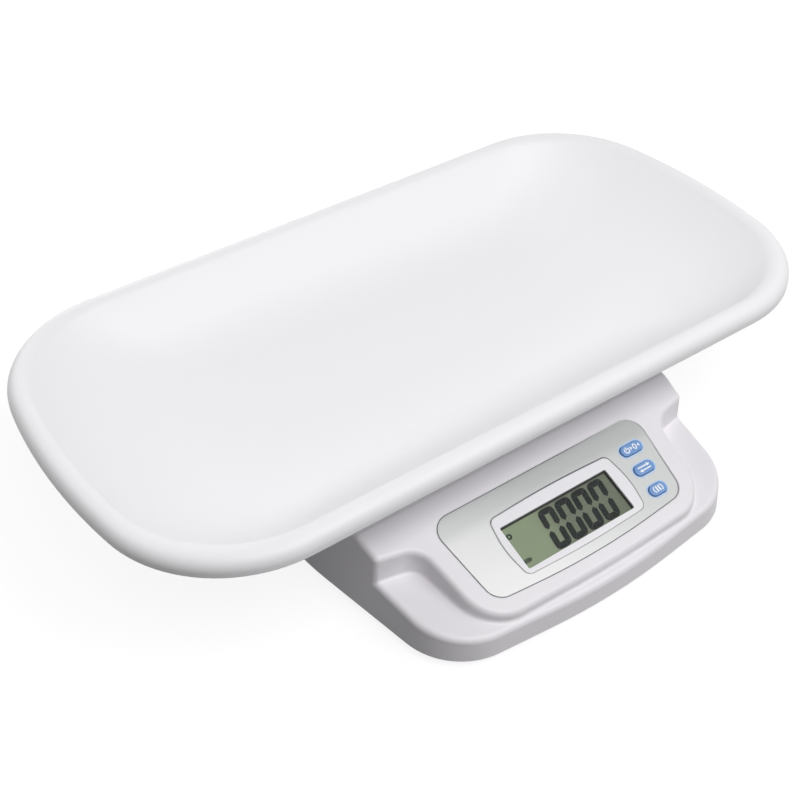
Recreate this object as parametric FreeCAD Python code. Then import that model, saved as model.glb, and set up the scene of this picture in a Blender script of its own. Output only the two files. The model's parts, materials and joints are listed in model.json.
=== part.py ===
"""Digital baby weighing scale: moulded tray on a load-cell base with a sloped display console.

Units are millimetres.  +X runs along the tray, +Y to the rear, +Z up, with the feet on Z = 0.
Every function builds its piece with Y measured from the tray's centre line; save() moves it
to the row frame, whose origin is the centre of the footprint.
"""
import FreeCAD, Part
import math
import os
from FreeCAD import Vector

# ---- tray --------------------------------------------------------------------------------
TRAY_LENGTH = 550.0
TRAY_WIDTH = 288.4
TRAY_DEPTH = 41.0            # rim crest down to the flat floor
TRAY_WALL = 3.0
TRAY_CORNER_R = 90.8
TRAY_END_R = 430.0           # gentle bulge of the two ends
RIM_R = 9.0                  # outer radius of the rolled rim
RIM_LIP = 3.1                # straight lip below the roll's centre
RIM_LAND = 0.4               # narrow flat along the rim's crest
RIM_BLEND_ANGLE = 50.0       # where the roll hands over to the basin wall, in degrees
FLOOR_LENGTH = 280.0
FLOOR_WIDTH = 124.0
FLOOR_CORNER_R = 34.0
FLOOR_END_R = 190.0
END_CURVE = 2.6              # exponent of the long, gentle end slopes
SIDE_CURVE = 2.1             # exponent of the steeper side walls
BASIN_STEPS = 7
LOCATOR_R = 4.0              # pins under the tray that drop into the pads
LOCATOR_HEIGHT = 2.2

# ---- housing -----------------------------------------------------------------------------
FOOT_HEIGHT = 5.0
COVER_HEIGHT = 55.5
COVER_WALL = 2.6
COVER_DRAFT = 4.5            # side wall draft in degrees
HOUSING_REACH = 209.0        # tray centre line to the front of the housing
HOUSING_REAR = 105.0         # tray centre line to the rear of the housing
HOUSING_HALF_WIDTH = 143.8
HOUSING_SHOULDER_Y = -70.0   # the sides taper forward of this line
FRONT_HALF_WIDTH = 124.7
FRONT_BULGE = 12.5
FRONT_BULGE_R = 500.0
FRONT_CORNER_R = 47.0
SHOULDER_R = 266.0
REAR_CORNER_R = 28.0

PANEL_TOP_Y = -113.5         # where the sloped panel meets the flat top
PANEL_TILT = 20.24
PANEL_DATUM = 38.9           # slope distance from that edge down to the panel's datum point
LEDGE_Y = -131.0             # line at which the drop of the ledge is measured
LEDGE_DROP = 26.5
LEDGE_TILT = 10.0
NECK_HALF_WIDTH = 102.4      # raised panel block at its neck, just below the ears
NECK_Y = -137.5
NECK_R = 14.0
EAR_SLOPE = 0.19             # how fast the ears' lower edge runs to the rear
NOSE_HALF_WIDTH = 93.4
NOSE_Y = -198.6
NOSE_R = 30.0
NOSE_BULGE = 3.0
NOSE_BULGE_R = 900.0
CREST_FILLET = 4.2
STEP_FILLET = 2.2

# ---- panel, measured from the panel datum along the slope ---------------------------------
OVERLAY_TOP = 24.0
OVERLAY_TOP_HALF = 88.5
OVERLAY_BOTTOM = -40.5
OVERLAY_BOTTOM_HALF = 80.5
OVERLAY_BULGE = 6.7
OVERLAY_BULGE_R = 620.0
OVERLAY_CORNER_R = 13.0
OVERLAY_THICKNESS = 0.6
OVERLAY_SEAM = 0.5           # line of shadow between the overlay and its recess
OVERLAY_SET = 0.15           # how far the overlay's face lies below the panel

BEZEL_X = -1.6
BEZEL_S = -14.8
BEZEL_HALF_LENGTH = 50.0
BEZEL_SIDE_BULGE = 3.6
BEZEL_SIDE_R = 60.0
BEZEL_HALF_HEIGHT = 21.4
BEZEL_BULGE = 1.9
BEZEL_BULGE_R = 700.0
BEZEL_CORNER_R = 5.0
BEZEL_PROUD = 0.9
BEZEL_EDGE_R = 0.6
BEZEL_FLANGE = 1.8
BEZEL_FLANGE_THICKNESS = 1.2
PANEL_FIT = 0.15
WINDOW_X = -3.7
WINDOW_S = -17.0
WINDOW_LENGTH = 90.2
WINDOW_HEIGHT = 32.0
WINDOW_R = 1.2
PANE_THICKNESS = 1.0
PANE_SET = 0.6               # window pane below the panel
PANE_MARGIN = 2.0            # pane and glass beyond the window, all round
PANE_FIT = 0.2
GLASS_THICKNESS = 2.8
BACKLIGHT_THICKNESS = 2.4

BUTTON_NAMES = ("upper_button", "middle_button", "lower_button")
BUTTON_X = (68.8, 67.1, 65.1)
BUTTON_S = (3.0, -13.1, -29.9)
BUTTON_LENGTH = (18.0, 16.4, 14.0)
BUTTON_HEIGHT = 8.0
BUTTON_CORNER_R = 3.9
BUTTON_EDGE_R = 0.7
BUTTON_PROUD = 1.3
BUTTON_GAP = 0.35
BUTTON_TRAVEL = 0.8
BUTTON_FLANGE = 1.2
BUTTON_FLANGE_THICKNESS = 1.0
RUNNING_GAP = 0.3

BOARD_THICKNESS = 1.6
BOARD_HALF_LENGTH = 84.0
BOARD_TOP = 20.0
BOARD_BOTTOM = -38.0
BOARD_CORNER_R = 3.0
BOARD_SCREW_INSET = 4.5
BOARD_BOSS_R = 3.0
SWITCH_SIZE = 6.0
SWITCH_BODY = 1.2
SWITCH_PLUNGER_R = 1.7
CHIPS = ((-24.0, 8.0, 14.0, 2.0), (8.0, -24.0, 10.0, 1.6), (38.0, 8.0, 8.0, 1.4))
PLUG_X = (-44.0, -60.0, -76.0)
PLUG_S = -20.0
PLUG_LENGTH = 10.0
PLUG_WIDTH = 6.0
PLUG_HEIGHT = 5.0

# ---- load cell stack ---------------------------------------------------------------------
CHASSIS_LENGTH = 200.0
CHASSIS_WIDTH = 60.0
CHASSIS_THICKNESS = 2.0
CHASSIS_CORNER_R = 8.0
CHASSIS_SCREW_INSET = 8.0
CELL_LENGTH = 130.0
CELL_WIDTH = 30.0
CELL_HEIGHT = 22.0
CELL_BORE_R = 6.5
CELL_BORE_SPACING = 24.0
CELL_SLOT = 4.0
CELL_HOLE_INSET = 7.5
CELL_HOLE_SPACING = 15.0
LOWER_SPACER_HEIGHT = 5.0
BOLT_R = 2.5
BOLT_HEAD_R = 4.4
BOLT_HEAD_HEIGHT = 1.8
BOLT_PLAY = 0.3
BOLT_GRIP = 11.0             # length of a bolt inside the load cell
STOP_GAP = 0.8               # overload stop below the free end of the load cell
STOP_R = 3.0
STOP_NUT_WIDTH = 10.0
STOP_NUT_SIDES = 6
STOP_NUT_HEIGHT = 3.2
PLATE_LENGTH = 230.0
PLATE_WIDTH = 130.0
PLATE_THICKNESS = 3.0
PLATE_CORNER_R = 14.0
PLATE_GAP = 1.5              # support plate above the housing's flat top
PAD_R = 12.0
PAD_HEIGHT = 5.0
PAD_INSET = 18.0
PAD_PLAY = 0.5
POST_CLEARANCE = 5.0

# ---- bottom cover, feet and fasteners ------------------------------------------------------
FLOOR_PLATE = 3.0
COVER_FIT = 0.6
BOTTOM_LIP_HEIGHT = 4.0
BOTTOM_LIP_WALL = 2.0
FOOT_R = 11.0
FOOT_SPIGOT_R = 4.5
FOOT_SIDE_INSET = 30.0       # centres of the feet inside the housing's front and rear corners
FOOT_REAR_INSET = 25.0
FOOT_FRONT_INSET = 29.5
BOSS_R = 4.5
BOSS_SIDE_INSET = 26.0       # centres of the screw bosses inside the side walls
BOSS_FRONT_INSET = 60.0
BOSS_MIDDLE_Y = -40.0
BOSS_REAR_INSET = 14.0
BOSS_REAR_X = 70.0
COVER_SCREW_R = 1.6
COVER_SCREW_HEAD_R = 3.2
COVER_SCREW_HEAD = 1.6
COVER_SCREW_LENGTH = 14.0
SCREW_PLAY = 0.1
HEAD_PLAY = 0.4
SMALL_SCREW_R = 1.25
SMALL_SCREW_HEAD_R = 2.4
SMALL_SCREW_HEAD = 1.4
SMALL_SCREW_LENGTH = 4.4

# ---- batteries ---------------------------------------------------------------------------
BATTERY_COUNT = 4
BATTERY_R = 7.1
BATTERY_LENGTH = 49.0
BATTERY_NUB_R = 2.7
BATTERY_NUB = 1.4
BATTERY_PITCH = 15.0
BATTERY_Y = 65.0
BOX_WALL = 1.6
BOX_HALF_LENGTH = 29.5
BOX_PLAY = 0.4
CONTACT_THICKNESS = 0.5
CONTACT_WIDTH = 10.0
CONTACT_DIMPLE = 1.0
CONTACT_DIMPLE_R = 1.6
SPRING_WIRE_R = 0.35
SPRING_COIL_R = 3.6
SPRING_TURNS = 2.5
DOOR_HALF_WIDTH = 31.0
DOOR_TONGUE = 2.5
DOOR_TONGUE_THICKNESS = 1.2
DOOR_THICKNESS = 3.0
DOOR_RECESS = 0.2            # door face above the bottom cover's face
DOOR_MARGIN = 3.0
DOOR_ROOF = 2.0
GRIP_LENGTH = 26.0
GRIP_WIDTH = 1.6
GRIP_DEPTH = 0.7
GRIP_COUNT = 4
GRIP_PITCH = 4.0
GRIP_INSET = 8.0

# ---- power inlet and inner cables ----------------------------------------------------------
INLET_INSET = 47.8           # inlet's centre inside the left side wall
INLET_Z = 26.0
INLET_SHELL_R = 4.2
INLET_BORE_R = 3.2
INLET_BORE_DEPTH = 9.0
INLET_PIN_R = 1.0
INLET_BODY_WIDTH = 11.0
INLET_BODY_DEPTH = 13.0
CABLE_R = 1.6
LEAD_R = 1.0
LEAD_CLEARANCE = 3.0         # leads above the chassis plate

# ---- heights and places that follow --------------------------------------------------------
FLOOR_TOP_Z = FOOT_HEIGHT + FLOOR_PLATE
COVER_TOP_Z = FOOT_HEIGHT + COVER_HEIGHT
CHASSIS_TOP_Z = FLOOR_TOP_Z + CHASSIS_THICKNESS
CELL_Z = CHASSIS_TOP_Z + LOWER_SPACER_HEIGHT
CELL_TOP_Z = CELL_Z + CELL_HEIGHT
PLATE_Z = COVER_TOP_Z + PLATE_GAP
PAD_Z = PLATE_Z + PLATE_THICKNESS
TRAY_UNDER_Z = PAD_Z + PAD_HEIGHT
TRAY_FLOOR_Z = TRAY_UNDER_Z + TRAY_WALL
RIM_Z = TRAY_FLOOR_Z + TRAY_DEPTH - RIM_R
CREST_Z = RIM_Z + RIM_R
ROW_SHIFT_Y = (HOUSING_REACH - TRAY_WIDTH / 2) / 2

PAD_PLACES = [(sx * (PLATE_LENGTH / 2 - PAD_INSET), sy * (PLATE_WIDTH / 2 - PAD_INSET))
              for sx in (-1, 1) for sy in (-1, 1)]
SPACER_LENGTH = 2 * CELL_HOLE_INSET + CELL_HOLE_SPACING
POST_X = CELL_LENGTH / 2 - CELL_HOLE_INSET - CELL_HOLE_SPACING / 2
BOLT_OFFSETS = (-CELL_HOLE_SPACING / 2, CELL_HOLE_SPACING / 2)
BEZEL_BACK = COVER_WALL + BEZEL_FLANGE_THICKNESS
GLASS_SET = PANE_SET + PANE_THICKNESS
BOARD_SET = GLASS_SET + GLASS_THICKNESS + BACKLIGHT_THICKNESS
BOARD_BACK = BOARD_SET + BOARD_THICKNESS
OVERLAY_FLOOR = OVERLAY_SET + OVERLAY_THICKNESS
BUTTON_BACK = COVER_WALL + RUNNING_GAP + BUTTON_FLANGE_THICKNESS
SWITCH_TOP = BUTTON_BACK + BUTTON_TRAVEL + RUNNING_GAP
DOOR_Z = FOOT_HEIGHT + DOOR_RECESS
DOOR_TOP_Z = DOOR_Z + DOOR_THICKNESS
BATTERY_Z = DOOR_TOP_Z + RUNNING_GAP + BATTERY_R
BOX_ROOF_Z = BATTERY_Z + BATTERY_R + BOX_PLAY
BOX_HALF_WIDTH = (BATTERY_COUNT - 1) * BATTERY_PITCH / 2 + BATTERY_R + BOX_PLAY
DOOR_FRONT_Y = BATTERY_Y - BOX_HALF_WIDTH - DOOR_MARGIN
DOOR_REAR_Y = HOUSING_REAR - RUNNING_GAP
LEAN = math.tan(math.radians(COVER_DRAFT))
FOOT_PLACES = ((HOUSING_HALF_WIDTH - FOOT_SIDE_INSET, HOUSING_REAR - FOOT_REAR_INSET),
               (FRONT_HALF_WIDTH - FOOT_SIDE_INSET, FOOT_FRONT_INSET - HOUSING_REACH))
COVER_SCREW_PLACES = ((HOUSING_HALF_WIDTH - BOSS_SIDE_INSET, BOSS_FRONT_INSET - HOUSING_REACH),
                      (HOUSING_HALF_WIDTH - BOSS_SIDE_INSET, BOSS_MIDDLE_Y),
                      (BOSS_REAR_X, HOUSING_REAR - BOSS_REAR_INSET))
INLET_X = INLET_INSET - HOUSING_HALF_WIDTH
INLET_FACE_Y = HOUSING_REAR - LEAN * (INLET_Z - FOOT_HEIGHT)
INLET_BODY_Y = INLET_FACE_Y - COVER_WALL - LEAN * INLET_BODY_WIDTH
LEAD_Z = CHASSIS_TOP_Z + LEAD_CLEARANCE
BATTERY_TIP = BOX_HALF_LENGTH - CONTACT_THICKNESS - CONTACT_DIMPLE
BATTERY_BASE = BATTERY_TIP - BATTERY_NUB - BATTERY_LENGTH
UP = Vector(0, 0, 1)
ORIGIN = Vector(0, 0, 0)
FAR = 400.0                  # larger than the whole scale, for cutting blocks
FLAT = 1e-3                  # how nearly upright a face has to be to count as upright


# ---- helpers -------------------------------------------------------------------------------
def box(x0, x1, y0, y1, z0, z1):
    """Block between two corners."""
    return Part.makeBox(x1 - x0, y1 - y0, z1 - z0, Vector(x0, y0, z0))


def rod(x, y, z0, z1, radius):
    """Upright cylinder."""
    return Part.makeCylinder(radius, z1 - z0, Vector(x, y, z0), UP)


def both_sides(places):
    """Each place and its mirror image across the centre plane."""
    return [(side * x, y) for x, y in places for side in (-1, 1)]


def inset_corners(corners, inset):
    """Corners (x, y, radius), counter-clockwise, of the same outline moved inwards by inset."""
    moved = []
    for i, (x, y, radius) in enumerate(corners):
        ax, ay, _ = corners[i - 1]
        bx, by, _ = corners[(i + 1) % len(corners)]
        before = Vector(x - ax, y - ay, 0).normalize()
        after = Vector(bx - x, by - y, 0).normalize()
        inward = (Vector(-before.y - after.y, before.x + after.x, 0)).normalize()
        reach = inset / inward.dot(Vector(-after.y, after.x, 0))
        side = 1 if before.cross(after).z > 0 else -1
        moved.append((x + inward.x * reach, y + inward.y * reach, radius - side * inset))
    return moved


def rounded_wire(corners, z):
    """Closed wire of straight runs and tangent arcs through corners (x, y, radius)."""
    arcs = []
    for i, (x, y, radius) in enumerate(corners):
        ax, ay, _ = corners[i - 1]
        bx, by, _ = corners[(i + 1) % len(corners)]
        corner = Vector(x, y, z)
        back = (Vector(ax, ay, z) - corner).normalize()
        ahead = (Vector(bx, by, z) - corner).normalize()
        half = back.getAngle(ahead) / 2
        run = radius / math.tan(half)
        middle = corner + (back + ahead).normalize() * (radius / math.sin(half) - radius)
        arcs.append((corner + back * run, middle, corner + ahead * run))
    edges = []
    for i, (start, middle, end) in enumerate(arcs):
        edges.append(Part.Arc(start, middle, end).toShape())
        edges.append(Part.makeLine(end, arcs[(i + 1) % len(arcs)][0]))
    return Part.Wire(edges)


def prism(corners, z0, z1):
    """Upright prism on a rounded outline."""
    return Part.Face(rounded_wire(corners, z0)).extrude(Vector(0, 0, z1 - z0))


def mirrored(right_half):
    """Full outline from its right half, front to rear; a corner at x = 0 isn't doubled."""
    return right_half + [(-x, y, r) for x, y, r in reversed(right_half) if x != 0]


def shifted(corners, dx, dy):
    """Outline moved sideways."""
    return [(x + dx, y + dy, r) for x, y, r in corners]


def rectangle(length, width, radius):
    """Rounded rectangle about the origin."""
    return mirrored([(length / 2, -width / 2, radius), (length / 2, width / 2, radius)])


def panel_point(x, slope, out):
    """Point of the panel, out from its surface, in tray coordinates."""
    tilt = math.radians(PANEL_TILT)
    along = slope - PANEL_DATUM
    return Vector(x, PANEL_TOP_Y + along * math.cos(tilt) - out * math.sin(tilt),
                  COVER_TOP_Z + along * math.sin(tilt) + out * math.cos(tilt))


def on_panel(shape):
    """Move a shape from panel coordinates (X, up the slope, outwards) onto the console."""
    placed = shape.copy()
    placed.rotate(ORIGIN, Vector(1, 0, 0), PANEL_TILT)
    placed.translate(panel_point(0, 0, 0))
    return placed


def above_plane(y, z, tilt):
    """Everything above the plane through (y, z) that rises to the rear by tilt degrees."""
    block = box(-FAR, FAR, -FAR, FAR, 0, FAR)
    block.rotate(ORIGIN, Vector(1, 0, 0), tilt)
    block.translate(Vector(0, y, z))
    return block


def screw_up(x, y, seat_z, radius, length, head_r, head_height):
    """Screw driven from below, its head under the seat."""
    return rod(x, y, seat_z - head_height, seat_z, head_r).fuse(rod(x, y, seat_z, seat_z + length, radius))


def screw_down(x, y, seat_z, radius, length, head_r, head_height):
    """Screw driven from above, its head on the seat."""
    return rod(x, y, seat_z, seat_z + head_height, head_r).fuse(rod(x, y, seat_z - length, seat_z, radius))


def bent_tube(points, radius):
    """Tube along straight runs joined by arcs as large as the runs allow."""
    edges = []
    start = points[0]
    for i in range(1, len(points) - 1):
        back = points[i - 1] - points[i]
        ahead = points[i + 1] - points[i]
        reach = 0.45 * min(back.Length, ahead.Length)
        back.normalize()
        ahead.normalize()
        half = back.getAngle(ahead) / 2
        bend = reach * math.tan(half)
        middle = points[i] + (back + ahead).normalize() * (bend / math.sin(half) - bend)
        edges.append(Part.makeLine(start, points[i] + back * reach))
        edges.append(Part.Arc(points[i] + back * reach, middle, points[i] + ahead * reach).toShape())
        start = points[i] + ahead * reach
    edges.append(Part.makeLine(start, points[-1]))
    profile = Part.Wire([Part.makeCircle(radius, points[0], points[1] - points[0])])
    return Part.Wire(edges).makePipeShell([profile], True, False)


# ---- tray ----------------------------------------------------------------------------------
def tray_wire(side_inset, end_inset, share, z):
    """Outline of the tray at one height.

    The insets run from the roll's centre line; share goes from 0 at the rim to 1 at the floor
    and blends the corner and end radii.
    """
    half_length = TRAY_LENGTH / 2 - RIM_R - end_inset
    half_width = TRAY_WIDTH / 2 - RIM_R - side_inset
    corner = (TRAY_CORNER_R - RIM_R) * (1 - share) + FLOOR_CORNER_R * share - min(side_inset, 0)
    end = (TRAY_END_R - RIM_R) * (1 - share) + FLOOR_END_R * share - min(end_inset, 0)
    corner_y = half_width - corner
    end_x = half_length - end
    corner_x = end_x + math.sqrt((end - corner) ** 2 - corner_y ** 2)
    lean = math.atan2(corner_y, corner_x - end_x)
    arcs = []
    for sx, sy in ((1, 1), (-1, 1), (-1, -1), (1, -1)):
        arc = [Vector(sx * (corner_x + corner * math.cos(a)), sy * (corner_y + corner * math.sin(a)), z)
               for a in (lean, (lean + math.pi / 2) / 2, math.pi / 2)]
        arcs.append(arc if sx * sy > 0 else arc[::-1])
    edges = []
    for i, (start, middle, stop) in enumerate(arcs):
        following = arcs[(i + 1) % len(arcs)][0]
        edges.append(Part.Arc(start, middle, stop).toShape())
        if i % 2 == 0:
            edges.append(Part.makeLine(stop, following))
        else:
            tip = Vector(math.copysign(half_length, stop.x), 0, z)
            edges.append(Part.Arc(stop, tip, following).toShape())
    return Part.Wire(edges)


def basin_wires(offset):
    """Outlines of the basin from its floor up to the roll; offset moves them out by a wall."""
    roll = RIM_R - offset
    blend = math.radians(RIM_BLEND_ANGLE)
    floor_z = TRAY_FLOOR_Z - offset
    rise = RIM_Z + roll * math.cos(blend) - floor_z
    inset = roll * math.sin(blend)
    side_run = TRAY_WIDTH / 2 - RIM_R - FLOOR_WIDTH / 2 - inset
    end_run = TRAY_LENGTH / 2 - RIM_R - FLOOR_LENGTH / 2 - inset
    wires = []
    for i in range(BASIN_STEPS + 1):
        side_share = 1 - i / BASIN_STEPS
        height = (1 - side_share) ** SIDE_CURVE
        end_share = 1 - height ** (1 / END_CURVE)
        wires.append(tray_wire(inset + side_run * side_share, inset + end_run * end_share, side_share,
                               floor_z + rise * height))
    for turn in (blend * 2 / 3, blend / 3):
        inset = roll * math.sin(turn)
        wires.append(tray_wire(inset, inset, 0, RIM_Z + roll * math.cos(turn)))
    return wires


def roll_solid(radius):
    """Filled dome under the rolled rim's outer half, with the straight lip below it."""
    lip = Part.Face(tray_wire(-radius, -radius, 0, RIM_Z - RIM_LIP)).extrude(Vector(0, 0, RIM_LIP))
    wires = []
    for turn in (0, 22.5, 45, 67.5, 90):
        out = radius * math.cos(math.radians(turn))
        wires.append(tray_wire(-out, -out, 0, RIM_Z + radius * math.sin(math.radians(turn))))
    return lip.fuse(Part.makeLoft(wires, True, False))


def tray():
    """Moulded tray: basin, rolled rim open underneath, and locating pins."""
    under = basin_wires(TRAY_WALL) + [tray_wire(0, 0, 0, CREST_Z - TRAY_WALL / 2)]
    inner = basin_wires(0) + [tray_wire(RIM_LAND, RIM_LAND, 0, CREST_Z)]
    rim = roll_solid(RIM_R).cut(roll_solid(RIM_R - TRAY_WALL))
    pins = [rod(x, y, TRAY_UNDER_Z - LOCATOR_HEIGHT, TRAY_UNDER_Z + TRAY_WALL / 2, LOCATOR_R)
            for x, y in PAD_PLACES]
    shell = rim.fuse(Part.makeLoft(under, True, False)).cut(Part.makeLoft(inner, True, False))
    return shell.multiFuse(pins)


# ---- housing -------------------------------------------------------------------------------
def housing_corners():
    """Footprint of the housing; its front bulge touches HOUSING_REACH."""
    slant = math.hypot(FRONT_HALF_WIDTH, FRONT_BULGE)
    point = HOUSING_REACH + FRONT_BULGE_R * (slant - FRONT_HALF_WIDTH) / FRONT_HALF_WIDTH
    return mirrored([(0, -point, FRONT_BULGE_R),
                     (FRONT_HALF_WIDTH, FRONT_BULGE - point, FRONT_CORNER_R),
                     (HOUSING_HALF_WIDTH, HOUSING_SHOULDER_Y, SHOULDER_R),
                     (HOUSING_HALF_WIDTH, HOUSING_REAR, REAR_CORNER_R)])


def raised_corners():
    """Outline of the raised panel block; its ears run out past the side walls."""
    ear = HOUSING_HALF_WIDTH + FRONT_CORNER_R
    ear_y = NECK_Y + EAR_SLOPE * (ear - NECK_HALF_WIDTH)
    return mirrored([(0, NOSE_Y - NOSE_BULGE, NOSE_BULGE_R),
                     (NOSE_HALF_WIDTH, NOSE_Y, NOSE_R),
                     (NECK_HALF_WIDTH, NECK_Y, NECK_R),
                     (ear, ear_y, 2 * COVER_WALL),
                     (ear, HOUSING_REAR + FRONT_CORNER_R, 2 * COVER_WALL)])


def housing_body(wall):
    """Solid body of the housing with every face moved inwards by wall."""
    top = COVER_TOP_Z - wall
    low = inset_corners(housing_corners(), wall)
    high = inset_corners(housing_corners(), wall + LEAN * (top - FOOT_HEIGHT))
    body = Part.makeLoft([rounded_wire(low, FOOT_HEIGHT), rounded_wire(high, top)], True, True)
    panel_drop = wall / math.cos(math.radians(PANEL_TILT))
    over_panel = above_plane(PANEL_TOP_Y, COVER_TOP_Z - panel_drop, PANEL_TILT)
    over_panel = over_panel.common(box(-FAR, FAR, -FAR, PANEL_TOP_Y + wall, 0, FAR))
    ledge_drop = wall / math.cos(math.radians(LEDGE_TILT))
    over_ledge = above_plane(LEDGE_Y, COVER_TOP_Z - LEDGE_DROP - ledge_drop, LEDGE_TILT)
    raised = prism(inset_corners(raised_corners(), wall), 0, FAR)
    return body.cut(over_panel).cut(over_ledge.cut(raised))


def face_kind(face):
    """Name a face of the housing by the way it points: top, panel, ledge, upright or side."""
    u0, u1, v0, v1 = face.ParameterRange
    normal = face.normalAt((u0 + u1) / 2, (v0 + v1) / 2)
    if face.Surface.TypeId == "Part::GeomPlane":
        for name, tilt in (("top", 0), ("panel", PANEL_TILT), ("ledge", LEDGE_TILT)):
            facing = Vector(0, -math.sin(math.radians(tilt)), math.cos(math.radians(tilt)))
            if (normal - facing).Length < FLAT:
                return name
    return "upright" if abs(normal.z) < FLAT else "side"


def edges_between(body, pairs):
    """Edges at which two kinds of face meet."""
    kinds = [(face_kind(face), face.Edges) for face in body.Faces]
    chosen = []
    for edge in body.Edges:
        names = sorted(name for name, edges in kinds if any(edge.isSame(e) for e in edges))
        if tuple(names) in pairs:
            chosen.append(edge)
    return chosen


def rounded_housing():
    """Housing with its crests, ledge edge and step foot rounded."""
    body = housing_body(0)
    crests = edges_between(body, (("side", "top"), ("panel", "side"), ("panel", "upright"),
                                  ("side", "upright"), ("ledge", "side")))
    body = body.makeFillet(CREST_FILLET, crests)
    return body.makeFillet(STEP_FILLET, edges_between(body, (("ledge", "upright"),)))


def board_screw_places():
    """Centres of the board's screws in panel coordinates."""
    x = BOARD_HALF_LENGTH - BOARD_SCREW_INSET
    return both_sides([(x, BOARD_TOP - BOARD_SCREW_INSET), (x, BOARD_BOTTOM + BOARD_SCREW_INSET)])


def overlay_corners():
    """Outline of the panel overlay in panel coordinates."""
    return mirrored([(0, OVERLAY_BOTTOM - OVERLAY_BULGE, OVERLAY_BULGE_R),
                     (OVERLAY_BOTTOM_HALF, OVERLAY_BOTTOM, OVERLAY_CORNER_R),
                     (OVERLAY_TOP_HALF, OVERLAY_TOP, OVERLAY_CORNER_R)])


def bezel_corners():
    """Barrel outline of the display bezel in panel coordinates."""
    half = mirrored([(0, -BEZEL_HALF_HEIGHT - BEZEL_BULGE, BEZEL_BULGE_R),
                     (BEZEL_HALF_LENGTH, -BEZEL_HALF_HEIGHT, BEZEL_CORNER_R),
                     (BEZEL_HALF_LENGTH + BEZEL_SIDE_BULGE, 0, BEZEL_SIDE_R),
                     (BEZEL_HALF_LENGTH, BEZEL_HALF_HEIGHT, BEZEL_CORNER_R),
                     (0, BEZEL_HALF_HEIGHT + BEZEL_BULGE, BEZEL_BULGE_R)])
    return shifted(half, BEZEL_X, BEZEL_S)


def window_corners(margin):
    """Display window, or a larger outline round it, in panel coordinates."""
    window = rectangle(WINDOW_LENGTH, WINDOW_HEIGHT, WINDOW_R)
    return shifted(inset_corners(window, -margin), WINDOW_X, WINDOW_S)


def button_corners(index, margin):
    """Oval outline of one button, grown by a margin, in panel coordinates."""
    oval = rectangle(BUTTON_LENGTH[index], BUTTON_HEIGHT, BUTTON_CORNER_R)
    return shifted(inset_corners(oval, -margin), BUTTON_X[index], BUTTON_S[index])


def panel_openings(depth):
    """Holes for the bezel and the buttons, from well above the panel down to a depth."""
    holes = [prism(inset_corners(bezel_corners(), -PANEL_FIT), -depth, BEZEL_FLANGE)]
    for index in range(len(BUTTON_NAMES)):
        holes.append(prism(button_corners(index, BUTTON_GAP), -depth, BEZEL_FLANGE))
    return Part.makeCompound([on_panel(hole) for hole in holes])


def top_cover():
    """Housing shell with its overlay recess, openings and screw bosses."""
    outer = rounded_housing()
    bosses = [rod(x, y, FLOOR_TOP_Z, COVER_TOP_Z, BOSS_R) for x, y in both_sides(COVER_SCREW_PLACES)]
    bosses += [on_panel(rod(x, s, -BOARD_SET, 0, BOARD_BOSS_R)) for x, s in board_screw_places()]
    shell = outer.cut(housing_body(COVER_WALL)).multiFuse([boss.common(outer) for boss in bosses])
    recess = on_panel(prism(inset_corners(overlay_corners(), -OVERLAY_SEAM), -OVERLAY_FLOOR, BEZEL_FLANGE))
    post = SPACER_LENGTH / 2 + POST_CLEARANCE
    post_y = CELL_WIDTH / 2 + POST_CLEARANCE
    cuts = [recess, panel_openings(2 * COVER_WALL),
            box(POST_X - post, POST_X + post, -post_y, post_y, COVER_TOP_Z - 2 * COVER_WALL,
                COVER_TOP_Z + COVER_WALL)]
    shank = COVER_SCREW_LENGTH + FLOOR_TOP_Z
    cuts += [rod(x, y, 0, shank, COVER_SCREW_R + SCREW_PLAY) for x, y in both_sides(COVER_SCREW_PLACES)]
    cuts += [on_panel(rod(x, s, -BOARD_SET, BOARD_THICKNESS - SMALL_SCREW_LENGTH - SCREW_PLAY,
                          SMALL_SCREW_R + SCREW_PLAY)) for x, s in board_screw_places()]
    cuts.append(Part.makeCylinder(INLET_SHELL_R + SCREW_PLAY, 3 * COVER_WALL,
                                  Vector(INLET_X, INLET_FACE_Y - 2 * COVER_WALL, INLET_Z), Vector(0, 1, 0)))
    notch = DOOR_HALF_WIDTH + DOOR_TONGUE + RUNNING_GAP
    cuts.append(box(-notch, notch, BATTERY_Y, HOUSING_REAR + COVER_WALL, 0, DOOR_TOP_Z + RUNNING_GAP))
    return shell.cut(cuts)


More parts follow.
